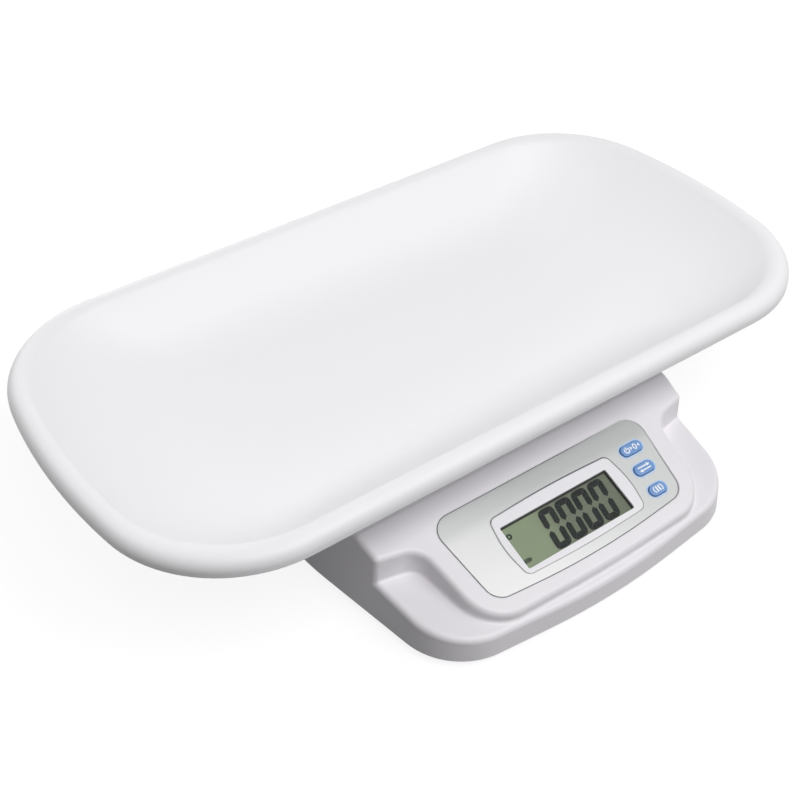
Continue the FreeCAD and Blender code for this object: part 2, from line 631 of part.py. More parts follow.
def bottom_cover():
    """Floor of the housing with its lip, battery box, door rails and inlet pedestal."""
    edge = inset_corners(housing_corners(), COVER_WALL + COVER_FIT)
    plate = prism(edge, FOOT_HEIGHT, FLOOR_TOP_Z)
    lip = prism(edge, FLOOR_TOP_Z, FLOOR_TOP_Z + BOTTOM_LIP_HEIGHT)
    lip = lip.cut(prism(inset_corners(edge, BOTTOM_LIP_WALL), FLOOR_TOP_Z, FAR))
    groove = DOOR_HALF_WIDTH + DOOR_TONGUE + RUNNING_GAP
    roof = DOOR_TOP_Z + RUNNING_GAP
    rear = HOUSING_REAR - COVER_WALL - COVER_FIT
    rails = box(-groove - BOX_WALL, groove + BOX_WALL, DOOR_FRONT_Y - DOOR_ROOF, rear,
                FLOOR_TOP_Z, roof + DOOR_ROOF)
    outside = BOX_HALF_LENGTH + BOX_WALL
    outside_width = BOX_HALF_WIDTH + BOX_WALL
    walls = box(-outside, outside, BATTERY_Y - outside_width, BATTERY_Y + outside_width,
                FLOOR_TOP_Z, BOX_ROOF_Z + BOX_WALL)
    half = INLET_BODY_WIDTH / 2
    pedestal = box(INLET_X - half, INLET_X + half, INLET_BODY_Y - INLET_BODY_DEPTH, INLET_BODY_Y,
                   FLOOR_TOP_Z, INLET_Z - half)
    body = plate.multiFuse([lip, rails, walls, pedestal])
    tongue_z = DOOR_TOP_Z - DOOR_TONGUE_THICKNESS - RUNNING_GAP
    front = DOOR_FRONT_Y - RUNNING_GAP
    neck = DOOR_HALF_WIDTH + RUNNING_GAP
    cuts = [box(-neck, neck, front, HOUSING_REAR, 0, roof),
            box(-groove, groove, front, HOUSING_REAR, tongue_z, roof),
            box(-BOX_HALF_LENGTH, BOX_HALF_LENGTH, BATTERY_Y - BOX_HALF_WIDTH,
                BATTERY_Y + BOX_HALF_WIDTH, 0, BOX_ROOF_Z)]
    seat = COVER_SCREW_HEAD + DOOR_RECESS + FOOT_HEIGHT
    for x, y in both_sides(COVER_SCREW_PLACES):
        cuts.append(rod(x, y, 0, seat, COVER_SCREW_HEAD_R + HEAD_PLAY))
        cuts.append(rod(x, y, 0, FAR, COVER_SCREW_R + SCREW_PLAY))
    cuts += [rod(x, y, 0, FLOOR_TOP_Z, FOOT_SPIGOT_R + SCREW_PLAY) for x, y in both_sides(FOOT_PLACES)]
    cuts += [rod(offset - POST_X, 0, 0, FLOOR_TOP_Z, BOLT_HEAD_R + HEAD_PLAY) for offset in BOLT_OFFSETS]
    tip = CHASSIS_TOP_Z - SMALL_SCREW_LENGTH - SCREW_PLAY
    cuts += [rod(x, y, tip, FLOOR_TOP_Z, SMALL_SCREW_R + SCREW_PLAY) for x, y in chassis_screw_places()]
    return body.cut(cuts)


# ---- feet and cover screws -----------------------------------------------------------------
def rubber_feet():
    """Four feet whose spigots sit in the bottom cover."""
    feet = [rod(x, y, 0, FOOT_HEIGHT, FOOT_R).fuse(rod(x, y, FOOT_HEIGHT, FLOOR_TOP_Z, FOOT_SPIGOT_R))
            for x, y in both_sides(FOOT_PLACES)]
    return Part.makeCompound(feet)


def cover_screws():
    """Screws that hold the bottom cover to the top cover."""
    seat = COVER_SCREW_HEAD + DOOR_RECESS + FOOT_HEIGHT
    return Part.makeCompound([screw_up(x, y, seat, COVER_SCREW_R, COVER_SCREW_LENGTH, COVER_SCREW_HEAD_R,
                                       COVER_SCREW_HEAD) for x, y in both_sides(COVER_SCREW_PLACES)])


# ---- panel pieces --------------------------------------------------------------------------
def panel_overlay():
    """Printed plate that lies in the panel's recess."""
    plate = on_panel(prism(overlay_corners(), -OVERLAY_FLOOR, -OVERLAY_SET))
    return plate.cut(panel_openings(2 * COVER_WALL))


def display_bezel():
    """Frame round the display, pushed in from behind against its flange."""
    frame = prism(bezel_corners(), -BEZEL_BACK, BEZEL_PROUD)
    frame = frame.makeFillet(BEZEL_EDGE_R, [e for e in frame.Edges if e.CenterOfMass.z > BEZEL_PROUD - FLAT])
    frame = frame.fuse(prism(inset_corners(bezel_corners(), -BEZEL_FLANGE), -BEZEL_BACK, -COVER_WALL))
    frame = frame.cut(prism(window_corners(0), -BEZEL_BACK, BEZEL_FLANGE))
    return on_panel(frame.cut(prism(window_corners(PANE_MARGIN + PANE_FIT), -BEZEL_BACK, -PANE_SET)))


def panel_layer(margin, back, front):
    """Flat layer behind the display window."""
    return on_panel(prism(window_corners(margin), -back, -front))


def button(index):
    """Oval key cap with a flange that keeps it behind the panel."""
    cap = prism(button_corners(index, 0), -BUTTON_BACK, BUTTON_PROUD)
    cap = cap.makeFillet(BUTTON_EDGE_R, [e for e in cap.Edges if e.CenterOfMass.z > BUTTON_PROUD - FLAT])
    flange = prism(button_corners(index, BUTTON_FLANGE), -BUTTON_BACK, -COVER_WALL - RUNNING_GAP)
    return on_panel(cap.fuse(flange))


def key_switches():
    """Tactile switches on the board, one behind each button."""
    switches = []
    for x, s in zip(BUTTON_X, BUTTON_S):
        half = SWITCH_SIZE / 2
        body = box(x - half, x + half, s - half, s + half, -BOARD_SET, SWITCH_BODY - BOARD_SET)
        plunger = rod(x, s, SWITCH_BODY - BOARD_SET, -SWITCH_TOP, SWITCH_PLUNGER_R)
        switches.append(on_panel(body.fuse(plunger)))
    return Part.makeCompound(switches)


def main_board():
    """Circuit board behind the panel."""
    outline = shifted(rectangle(2 * BOARD_HALF_LENGTH, BOARD_TOP - BOARD_BOTTOM, BOARD_CORNER_R),
                      0, (BOARD_TOP + BOARD_BOTTOM) / 2)
    holes = [rod(x, s, -BOARD_BACK, -BOARD_SET, SMALL_SCREW_R + SCREW_PLAY) for x, s in board_screw_places()]
    return on_panel(prism(outline, -BOARD_BACK, -BOARD_SET).cut(holes))


def board_screws():
    """Screws that hold the board to the bosses of the top cover."""
    return Part.makeCompound([on_panel(screw_up(x, s, -BOARD_BACK, SMALL_SCREW_R, SMALL_SCREW_LENGTH,
                                                SMALL_SCREW_HEAD_R, SMALL_SCREW_HEAD))
                              for x, s in board_screw_places()])


def board_chips():
    """Processor and driver packages on the back of the board."""
    return Part.makeCompound([on_panel(box(x - size / 2, x + size / 2, s - size / 2, s + size / 2,
                                           -BOARD_BACK - height, -BOARD_BACK))
                              for x, s, size, height in CHIPS])


def board_plugs():
    """Cable plugs on the back of the board."""
    half = PLUG_LENGTH / 2
    half_width = PLUG_WIDTH / 2
    return Part.makeCompound([on_panel(box(x - half, x + half, PLUG_S - half_width, PLUG_S + half_width,
                                           -BOARD_BACK - PLUG_HEIGHT, -BOARD_BACK))
                              for x in PLUG_X])


# ---- load cell stack -----------------------------------------------------------------------
def chassis_screw_places():
    """Centres of the chassis plate's screws."""
    x = CHASSIS_LENGTH / 2 - CHASSIS_SCREW_INSET
    y = CHASSIS_WIDTH / 2 - CHASSIS_SCREW_INSET
    return both_sides([(x, -y), (x, y)])


def chassis_plate():
    """Steel plate on the floor of the housing, carrying the load cell and the overload stop."""
    plate = prism(rectangle(CHASSIS_LENGTH, CHASSIS_WIDTH, CHASSIS_CORNER_R), FLOOR_TOP_Z, CHASSIS_TOP_Z)
    holes = [rod(x, y, FLOOR_TOP_Z, CHASSIS_TOP_Z, SMALL_SCREW_R + SCREW_PLAY)
             for x, y in chassis_screw_places()]
    holes += [rod(offset - POST_X, 0, FLOOR_TOP_Z, CHASSIS_TOP_Z, BOLT_R + BOLT_PLAY)
              for offset in BOLT_OFFSETS]
    holes.append(rod(POST_X, 0, FLOOR_TOP_Z, CHASSIS_TOP_Z, STOP_R + SCREW_PLAY))
    return plate.cut(holes)


def chassis_screws():
    """Screws that hold the chassis plate to the bottom cover."""
    return Part.makeCompound([screw_down(x, y, CHASSIS_TOP_Z, SMALL_SCREW_R, SMALL_SCREW_LENGTH,
                                         SMALL_SCREW_HEAD_R, SMALL_SCREW_HEAD)
                              for x, y in chassis_screw_places()])


def spacer(x, z0, z1):
    """Block as wide as the load cell, with two bolt holes."""
    half = SPACER_LENGTH / 2
    half_width = CELL_WIDTH / 2
    return box(x - half, x + half, -half_width, half_width, z0, z1).cut(
        [rod(x + offset, 0, z0, z1, BOLT_R + BOLT_PLAY) for offset in BOLT_OFFSETS])


def load_cell():
    """Single-point load cell: aluminium bar with a binocular bore and two holes at each end."""
    half_length = CELL_LENGTH / 2
    half_width = CELL_WIDTH / 2
    bar = box(-half_length, half_length, -half_width, half_width, CELL_Z, CELL_TOP_Z)
    middle_z = CELL_Z + CELL_HEIGHT / 2
    half_bore = CELL_BORE_SPACING / 2
    cuts = [Part.makeCylinder(CELL_BORE_R, CELL_WIDTH, Vector(x, -half_width, middle_z), Vector(0, 1, 0))
            for x in (-half_bore, half_bore)]
    cuts.append(box(-half_bore, half_bore, -half_width, half_width,
                    middle_z - CELL_SLOT / 2, middle_z + CELL_SLOT / 2))
    cuts += [rod(side * POST_X + offset, 0, CELL_Z, CELL_TOP_Z, BOLT_R + BOLT_PLAY)
             for side in (-1, 1) for offset in BOLT_OFFSETS]
    return bar.cut(cuts)


def lower_bolts():
    """Bolts from under the chassis plate into the load cell's fixed end."""
    length = CELL_Z + BOLT_GRIP - FLOOR_TOP_Z
    return Part.makeCompound([screw_up(offset - POST_X, 0, FLOOR_TOP_Z, BOLT_R, length,
                                       BOLT_HEAD_R, BOLT_HEAD_HEIGHT)
                              for offset in BOLT_OFFSETS])


def upper_bolts():
    """Bolts through the support plate and the post into the load cell's free end."""
    seat = PAD_Z - BOLT_HEAD_HEIGHT
    length = seat - CELL_TOP_Z + BOLT_GRIP
    return Part.makeCompound([screw_down(offset + POST_X, 0, seat, BOLT_R, length,
                                         BOLT_HEAD_R, BOLT_HEAD_HEIGHT)
                              for offset in BOLT_OFFSETS])


def stop_screw():
    """Overload stop that stands in the chassis plate under the load cell's free end."""
    return rod(POST_X, 0, FLOOR_TOP_Z, CELL_Z - STOP_GAP, STOP_R)


def stop_nut():
    """Lock nut of the overload stop."""
    corner_r = STOP_NUT_WIDTH / 2 / math.cos(math.pi / STOP_NUT_SIDES)
    turns = [2 * math.pi * i / STOP_NUT_SIDES for i in range(STOP_NUT_SIDES + 1)]
    corners = [Vector(POST_X + corner_r * math.cos(turn), corner_r * math.sin(turn), CHASSIS_TOP_Z)
               for turn in turns]
    nut = Part.Face(Part.makePolygon(corners)).extrude(Vector(0, 0, STOP_NUT_HEIGHT))
    return nut.cut(rod(POST_X, 0, CHASSIS_TOP_Z, CHASSIS_TOP_Z + STOP_NUT_HEIGHT, STOP_R + SCREW_PLAY))


def tray_support_plate():
    """Plate on the load cell's post that carries the tray."""
    plate = prism(rectangle(PLATE_LENGTH, PLATE_WIDTH, PLATE_CORNER_R), PLATE_Z, PAD_Z)
    holes = [rod(POST_X + offset, 0, PLATE_Z, PAD_Z, BOLT_R + BOLT_PLAY) for offset in BOLT_OFFSETS]
    holes += [rod(POST_X + offset, 0, PAD_Z - BOLT_HEAD_HEIGHT, PAD_Z, BOLT_HEAD_R + BOLT_PLAY)
              for offset in BOLT_OFFSETS]
    return plate.cut(holes)


def tray_pads():
    """Rubber pads with a hole for each locating pin."""
    depth = LOCATOR_HEIGHT + PAD_PLAY
    return Part.makeCompound([rod(x, y, PAD_Z, TRAY_UNDER_Z, PAD_R).cut(
        rod(x, y, TRAY_UNDER_Z - depth, TRAY_UNDER_Z, LOCATOR_R + PAD_PLAY)) for x, y in PAD_PLACES])


# ---- batteries -----------------------------------------------------------------------------
def battery_rows():
    """Centre line of each battery and the side its positive end faces."""
    first = BATTERY_Y - (BATTERY_COUNT - 1) * BATTERY_PITCH / 2
    return [(first + i * BATTERY_PITCH, 1 if i % 2 == 0 else -1) for i in range(BATTERY_COUNT)]


def lengthwise(x0, x1, y, radius):
    """Cylinder along X between two places, at the batteries' height."""
    low, high = sorted((x0, x1))
    return Part.makeCylinder(radius, high - low, Vector(low, y, BATTERY_Z), Vector(1, 0, 0))


def contact_plate(side, y):
    """Contact plate against one end wall of the battery box."""
    outer = side * BOX_HALF_LENGTH
    inner = side * (BOX_HALF_LENGTH - CONTACT_THICKNESS)
    return box(min(outer, inner), max(outer, inner), y - CONTACT_WIDTH / 2, y + CONTACT_WIDTH / 2,
               BATTERY_Z - CONTACT_WIDTH / 2, BATTERY_Z + CONTACT_WIDTH / 2)


def battery_cells():
    """Cylindrical cells side by side, facing alternate ways."""
    cells = []
    for y, side in battery_rows():
        shoulder = side * (BATTERY_TIP - BATTERY_NUB)
        can = lengthwise(side * BATTERY_BASE, shoulder, y, BATTERY_R)
        cells.append(can.fuse(lengthwise(shoulder, side * BATTERY_TIP, y, BATTERY_NUB_R)))
    return Part.makeCompound(cells)


def battery_flat_contacts():
    """Dimpled contact plates at the positive ends."""
    plates = []
    for y, side in battery_rows():
        face = side * (BOX_HALF_LENGTH - CONTACT_THICKNESS)
        plates.append(contact_plate(side, y).fuse(lengthwise(face, side * BATTERY_TIP, y, CONTACT_DIMPLE_R)))
    return Part.makeCompound(plates)


def battery_spring_contacts():
    """Contact plates with a coil spring at the negative ends."""
    room = BOX_HALF_LENGTH - CONTACT_THICKNESS + BATTERY_BASE
    height = room - SPRING_WIRE_R
    helix = Part.makeHelix(height / SPRING_TURNS, height, SPRING_COIL_R)
    ring = Part.Wire([Part.makeCircle(SPRING_WIRE_R, Vector(SPRING_COIL_R, 0, 0), Vector(0, 1, 0))])
    coil = helix.makePipeShell([ring], True, True)
    plates = []
    for y, side in battery_rows():
        spring = coil.copy()
        spring.rotate(ORIGIN, Vector(0, 1, 0), 90 * side)
        spring.translate(Vector(-side * (BOX_HALF_LENGTH - CONTACT_THICKNESS), y, BATTERY_Z))
        plates.append(contact_plate(-side, y).fuse(spring))
    return Part.makeCompound(plates)


def battery_door():
    """Door that slides out to the rear on two tongues, with a ribbed grip."""
    panel = box(-DOOR_HALF_WIDTH, DOOR_HALF_WIDTH, DOOR_FRONT_Y, DOOR_REAR_Y, DOOR_Z, DOOR_TOP_Z)
    reach = DOOR_HALF_WIDTH + DOOR_TONGUE
    tongues = box(-reach, reach, DOOR_FRONT_Y, DOOR_REAR_Y, DOOR_TOP_Z - DOOR_TONGUE_THICKNESS, DOOR_TOP_Z)
    grips = []
    for i in range(GRIP_COUNT):
        y = DOOR_REAR_Y - GRIP_INSET - i * GRIP_PITCH
        grips.append(box(-GRIP_LENGTH / 2, GRIP_LENGTH / 2, y - GRIP_WIDTH, y, DOOR_Z, DOOR_Z + GRIP_DEPTH))
    return panel.fuse(tongues).cut(grips)


# ---- power inlet and inner cables ----------------------------------------------------------
def power_inlet():
    """Barrel socket in the rear wall: body, shell, bore and centre pin."""
    half = INLET_BODY_WIDTH / 2
    body = box(INLET_X - half, INLET_X + half, INLET_BODY_Y - INLET_BODY_DEPTH, INLET_BODY_Y, INLET_Z - half,
               INLET_Z + half)
    rear = Vector(0, 1, 0)
    shell = Part.makeCylinder(INLET_SHELL_R, INLET_FACE_Y - INLET_BODY_Y,
                              Vector(INLET_X, INLET_BODY_Y, INLET_Z), rear)
    start = INLET_FACE_Y - INLET_BORE_DEPTH
    bore = Part.makeCylinder(INLET_BORE_R, INLET_BORE_DEPTH, Vector(INLET_X, start, INLET_Z), rear)
    pin = Part.makeCylinder(INLET_PIN_R, INLET_BORE_DEPTH - INLET_PIN_R,
                            Vector(INLET_X, start, INLET_Z), rear)
    return body.fuse(shell).cut(bore).fuse(pin)


def plug_run(index):
    """Last three points of a cable: under the board, straight below its plug, and at the plug."""
    end = BOARD_BACK + PLUG_HEIGHT
    x = PLUG_X[index]
    below = panel_point(x, PLUG_S, -end - PLUG_LENGTH)
    return [Vector(x, below.y + PLUG_LENGTH, LEAD_Z), below, panel_point(x, PLUG_S, -end)]


def sensor_cable():
    """Cable from the side of the load cell to the board."""
    side_y = -CELL_WIDTH / 2
    start = Vector(PLUG_X[0] - CELL_HOLE_INSET, side_y, CELL_Z + CELL_HEIGHT / 2)
    route = [start, start + Vector(0, side_y, 0),
             Vector(PLUG_X[0] - CABLE_R, -CHASSIS_WIDTH, LEAD_Z + CABLE_R),
             Vector(PLUG_X[0] + CABLE_R, -CHASSIS_LENGTH / 2, LEAD_Z)]
    return bent_tube(route + plug_run(0), CABLE_R)


def power_leads():
    """Leads from the power inlet to the board."""
    start = Vector(INLET_X, INLET_BODY_Y - INLET_BODY_DEPTH, INLET_Z)
    beside_x = INLET_X - LEAD_CLEARANCE
    route = [start, start - Vector(0, INLET_BODY_DEPTH, 0),
             Vector(beside_x, CHASSIS_WIDTH / 2, LEAD_Z),
             Vector(beside_x, -CHASSIS_WIDTH / 2, LEAD_Z),
             Vector(INLET_X, -CHASSIS_LENGTH / 2, LEAD_Z)]
    return bent_tube(route + plug_run(2), LEAD_R)


def battery_leads():
    """Leads from the battery box to the board."""
    wall = -BOX_HALF_LENGTH - BOX_WALL
    start = Vector(wall, BATTERY_Y, BOX_ROOF_Z - BATTERY_R)
    beside_x = PLUG_X[1] - CELL_WIDTH / 2
    route = [start, start - Vector(BOX_HALF_LENGTH / 2, 0, 0),
             Vector(beside_x, CHASSIS_WIDTH / 2, LEAD_Z),
             Vector(beside_x, -CHASSIS_WIDTH / 2, LEAD_Z),
             Vector(PLUG_X[1], -CHASSIS_LENGTH / 2, LEAD_Z)]
    return bent_tube(route + plug_run(1), LEAD_R)


# ---- export --------------------------------------------------------------------------------
def save(name, shape):
    """Write one node, moved to the row frame."""
    placed = shape.copy()
    placed.translate(Vector(0, ROW_SHIFT_Y, 0))
    placed.exportStep("parts/" + name + ".step")


def main():
    """Write every node of the scale."""
    os.makedirs("parts", exist_ok=True)
    save("tray", tray())
    save("tray_support_plate", tray_support_plate())
    save("tray_pads", tray_pads())
    save("load_post", spacer(POST_X, CELL_TOP_Z, PLATE_Z))
    save("upper_bolts", upper_bolts())
    save("load_cell", load_cell())
    save("lower_spacer", spacer(-POST_X, CHASSIS_TOP_Z, CELL_Z))
    save("lower_bolts", lower_bolts())
    save("chassis_plate", chassis_plate())
    save("chassis_screws", chassis_screws())
    save("overload_stop_screw", stop_screw())
    save("overload_stop_nut", stop_nut())
    save("top_cover", top_cover())
    save("bottom_cover", bottom_cover())
    save("cover_screws", cover_screws())
    save("rubber_feet", rubber_feet())
    save("panel_overlay", panel_overlay())
    save("display_bezel", display_bezel())
    save("display_window", panel_layer(PANE_MARGIN, GLASS_SET, PANE_SET))
    save("display_glass", panel_layer(PANE_MARGIN, GLASS_SET + GLASS_THICKNESS, GLASS_SET))
    save("display_backlight", panel_layer(PANE_MARGIN, BOARD_SET, GLASS_SET + GLASS_THICKNESS))
    for index, name in enumerate(BUTTON_NAMES):
        save(name, button(index))
    save("key_switches", key_switches())
    save("main_board", main_board())
    save("board_screws", board_screws())
    save("board_chips", board_chips())
    save("board_plugs", board_plugs())
    save("battery_cells", battery_cells())
    save("battery_flat_contacts", battery_flat_contacts())
    save("battery_spring_contacts", battery_spring_contacts())
    save("battery_door", battery_door())
    save("power_inlet", power_inlet())
    save("sensor_cable", sensor_cable())
    save("power_leads", power_leads())
    save("battery_leads", battery_leads())


main()
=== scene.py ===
"""Looks of a digital baby weighing scale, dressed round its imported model.

Sizes in the classes are millimetres and leave them as metres; finishes and the studio are in metres.
Panel coordinates run along the sloped console: X to the right, S up the slope and a height out of
its surface.
"""
import json
import logging
import math
from abc import ABC, abstractmethod
from dataclasses import dataclass
from enum import Enum
from typing import Any, Callable, Iterable, Sequence

import bmesh
import bpy
from mathutils import Matrix, Vector


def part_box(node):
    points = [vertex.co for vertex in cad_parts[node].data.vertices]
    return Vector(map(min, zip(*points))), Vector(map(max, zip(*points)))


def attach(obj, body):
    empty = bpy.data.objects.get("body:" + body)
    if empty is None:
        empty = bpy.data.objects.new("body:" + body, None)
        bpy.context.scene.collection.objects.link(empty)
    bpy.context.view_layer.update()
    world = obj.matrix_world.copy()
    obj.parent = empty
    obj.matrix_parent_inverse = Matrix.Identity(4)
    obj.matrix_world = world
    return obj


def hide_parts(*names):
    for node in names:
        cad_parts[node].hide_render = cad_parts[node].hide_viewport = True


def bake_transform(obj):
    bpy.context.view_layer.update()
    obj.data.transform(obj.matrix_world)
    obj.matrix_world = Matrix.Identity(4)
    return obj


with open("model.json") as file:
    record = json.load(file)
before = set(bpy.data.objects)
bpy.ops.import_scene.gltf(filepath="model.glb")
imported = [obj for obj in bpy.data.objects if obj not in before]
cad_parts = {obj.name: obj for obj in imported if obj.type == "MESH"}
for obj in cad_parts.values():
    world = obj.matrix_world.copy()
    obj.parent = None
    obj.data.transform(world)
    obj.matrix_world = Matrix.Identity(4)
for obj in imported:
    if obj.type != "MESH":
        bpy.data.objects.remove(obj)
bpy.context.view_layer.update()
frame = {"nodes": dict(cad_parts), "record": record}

Point = tuple[float, float]
Triple = tuple[float, float, float]     # a place, a turn, or a corner and its radius
Colour = Triple
Level = tuple[list[Point], float]       # an outline and its height
MM = 0.001
SHIFT_Y = 32.4                          # from the origin back to the tray's middle
# the dark forms in screw and bolt heads are painted shade standing for their recesses
RECESS_DEPTH = 0.2 * MM                 # of the dark forms in the heads of screws
log = logging.getLogger("baby_scale")


class Body(Enum):
    """Bodies of the scale that dressed pieces ride on."""

    BASE = "base"
    PLATFORM = "platform"
    TRAY = "tray"
    UPPER_BUTTON = "upper_button"
    MIDDLE_BUTTON = "middle_button"
    LOWER_BUTTON = "lower_button"


def linked(name: str, data: bpy.types.ID) -> bpy.types.Object:
    """New object on its data, linked to the scene."""
    piece = bpy.data.objects.new(name, data)
    bpy.context.scene.collection.objects.link(piece)
    return piece


# ---- node building -------------------------------------------------------------------------
class NodeTree:
    """A node tree under construction."""

    def __init__(self, tree: bpy.types.NodeTree) -> None:
        """Keep the tree that takes the nodes."""
        self.tree = tree

    def feed(self, socket: bpy.types.NodeSocket, source: Any) -> None:
        """Link an output to a socket, or set the socket to a plain value."""
        if isinstance(source, bpy.types.NodeSocket):
            self.tree.links.new(source, socket)
        else:
            socket.default_value = source

    def node(self, kind: str, links: dict[Any, Any] | None = None, **settings: Any) -> bpy.types.Node:
        """Add a node.

        Args:
            kind: Blender's name of the node type.
            links: Outputs or plain values for its sockets, by name or index.
            settings: The node's own settings.

        Returns:
            The node.
        """
        node = self.tree.nodes.new(kind)
        for key, value in settings.items():
            setattr(node, key, value)
        for key, value in (links or {}).items():
            self.feed(node.inputs[key], value)
        return node


@dataclass(frozen=True)
class Value:
    """A shader socket that takes part in Python arithmetic."""

    shader: "Shader"
    socket: bpy.types.NodeSocket

    def _math(self, operation: str, *terms: Any) -> "Value":
        """Result of one Math node."""
        return self.shader.add("ShaderNodeMath", dict(enumerate(terms)), operation=operation)

    def __add__(self, other: Any) -> "Value":
        """Sum."""
        return self._math("ADD", self, other)

    def __sub__(self, other: Any) -> "Value":
        """Difference."""
        return self._math("SUBTRACT", self, other)

    def __rsub__(self, other: Any) -> "Value":
        """Difference with the socket on the right."""
        return self._math("SUBTRACT", other, self)

    def __mul__(self, other: Any) -> "Value":
        """Product."""
        return self._math("MULTIPLY", self, other)

    def __abs__(self) -> "Value":
        """Size without its sign."""
        return self._math("ABSOLUTE", self)

    def largest(self, other: Any) -> "Value":
        """Larger of two values."""
        return self._math("MAXIMUM", self, other)

    def between(self, low: float, high: float) -> "Value":
        """Smooth step from 0 at low to 1 at high."""
        return self.shader.add("ShaderNodeMapRange", {"Value": self, "From Min": low, "From Max": high},
                               interpolation_type="SMOOTHSTEP")

    def around(self, middle: float, spread: float) -> "Value":
        """A share of 0 to 1 turned into a spread about a middle value."""
        return self * spread + (middle - spread / 2)


class Shader(NodeTree):
    """One material, or the sky, and the nodes that make it."""

    def __init__(self, name: str, sky: bool = False) -> None:
        """Start an empty material or sky with its output node."""
        self.material = bpy.data.worlds.new(name) if sky else bpy.data.materials.new(name)
        self.material.use_nodes = True
        super().__init__(self.material.node_tree)
        self.tree.nodes.clear()
        self.output = self.node("ShaderNodeOutputWorld" if sky else "ShaderNodeOutputMaterial")

    def feed(self, socket: bpy.types.NodeSocket, source: Any) -> None:
        """Also take a Value, or a colour without its alpha."""
        if isinstance(source, Value):
            source = source.socket
        elif isinstance(source, tuple) and len(source) == 3 and socket.type == "RGBA":
            source = (*source, 1.0)
        super().feed(socket, source)

    def add(self, kind: str, links: dict[Any, Any] | None = None, out: Any = 0, **settings: Any) -> Value:
        """Add a node and return the chosen one of its outputs."""
        return Value(self, self.node(kind, links, **settings).outputs[out])

    def place(self) -> Value:
        """Object coordinates in metres."""
        return self.add("ShaderNodeTexCoord", out="Object")

    def axes(self) -> list[Value]:
        """The three object coordinates as separate values."""
        split = self.node("ShaderNodeSeparateXYZ", {0: self.place()})
        return [Value(self, socket) for socket in split.outputs]

    def along(self, low: Point, high: Point) -> Value:
        """Smooth share from 0 at the point low to 1 at the point high, in metres of X and Y."""
        x, y, _ = self.axes()
        run = Vector(high) - Vector(low)
        step = run / run.length_squared
        return ((x - low[0]) * step.x + (y - low[1]) * step.y).between(0.0, 1.0)

    def seen(self) -> Value:
        """1 for rays from the camera, from gloss or through glass, and 0 for diffuse light."""
        outputs = self.node("ShaderNodeLightPath").outputs
        camera, gloss, glass = (Value(self, outputs[f"Is {ray} Ray"])
                                for ray in ("Camera", "Glossy", "Transmission"))
        return camera.largest(gloss).largest(glass)

    def noise(self, size: float, detail: float = 2.0, roughness: float = 0.5,
              stretch: Triple = (1.0, 1.0, 1.0)) -> Value:
        """Noise whose blotches measure about size metres, longer where stretch is small."""
        place = self.add("ShaderNodeMapping", {"Vector": self.place(), "Scale": stretch})
        return self.add("ShaderNodeTexNoise", {"Vector": place, "Scale": 1 / size, "Detail": detail,
                                               "Roughness": roughness})

    def mix(self, share: Any, low: Any, high: Any) -> Value:
        """Blend of two colours."""
        return self.add("ShaderNodeMix", {0: share, 6: low, 7: high}, 2, data_type="RGBA")

    def shaded(self, share: Any, colour: Colour, low: float, high: float) -> Value:
        """Colour whose brightness runs from low to high times its own."""
        return self.mix(share, scaled(colour, low), scaled(colour, high))

    def bump(self, height: Value, depth: float, strength: float) -> Value:
        """Normal bent by a height in units of depth metres."""
        return self.add("ShaderNodeBump", {"Strength": strength, "Distance": depth, "Height": height})

    def finish(self, surface: Value) -> bpy.types.ID:
        """Connect the surface and hand over the material or sky."""
        self.feed(self.output.inputs["Surface"], surface)
        return self.material

    def principled(self, **sockets: Any) -> bpy.types.Material:
        """Finish with one Principled surface; names use _ for a space."""
        links = {key.replace("_", " "): value for key, value in sockets.items()}
        return self.finish(self.add("ShaderNodeBsdfPrincipled", links))


def scaled(colour: Colour, share: float) -> Colour:
    """Colour multiplied by a share."""
    return tuple(channel * share for channel in colour)


# ---- finishes ------------------------------------------------------------------------------
@dataclass(frozen=True)
class Finish(ABC):
    """A named finish; its sizes, depths and places are metres."""

    name: str

    def material(self) -> bpy.types.Material:
        """Build the material."""
        return self.paint(Shader(self.name))

    @abstractmethod
    def paint(self, shader: Shader) -> bpy.types.Material:
        """Lay out the nodes and finish the material."""


@dataclass(frozen=True)
class Moulding(Finish):
    """Injection-moulded plastic with a fine spark-eroded grain."""

    colour: Colour
    roughness: float
    grain: float = 0.0006
    grain_depth: float = 0.00002
    mottle: float = 0.02
    coat: float = 0.0
    flow: float = 0.09
    flow_share: float = 0.7
    sheen: float = 0.03
    sheen_spread: float = 0.08

    def paint(self, shader: Shader) -> bpy.types.Material:
        """Lay out the nodes and finish the material."""
        flow, grain = shader.noise(self.flow, 3.0), shader.noise(self.grain)
        share = flow * self.flow_share + grain * (1 - self.flow_share)
        base = shader.shaded(share, self.colour, 1 - self.mottle, 1 + self.mottle)
        sheen = shader.noise(self.sheen).around(self.roughness, self.sheen_spread)
        return shader.principled(Base_Color=base, Roughness=sheen, Coat_Weight=self.coat,
                                 Coat_Roughness=0.25, Normal=shader.bump(grain, self.grain_depth, 0.5))


@dataclass(frozen=True)
class Rubber(Finish):
    """Matt rubber or cable sheath with a dusty bloom."""

    colour: Colour
    roughness: float = 0.745
    roughness_spread: float = 0.15
    bloom: float = 0.012
    bloom_edges: Point = (0.35, 0.8)
    bloom_brightness: float = 1.6
    pore: float = 0.0005
    pore_depth: float = 0.00004

    def paint(self, shader: Shader) -> bpy.types.Material:
        """Lay out the nodes and finish the material."""
        bloom = shader.noise(self.bloom, 4.0, roughness=0.65)
        base = shader.shaded(bloom.between(*self.bloom_edges), self.colour, 1.0, self.bloom_brightness)
        rough = bloom.around(self.roughness, self.roughness_spread)
        return shader.principled(Base_Color=base, Roughness=rough,
                                 Normal=shader.bump(shader.noise(self.pore), self.pore_depth, 0.6))


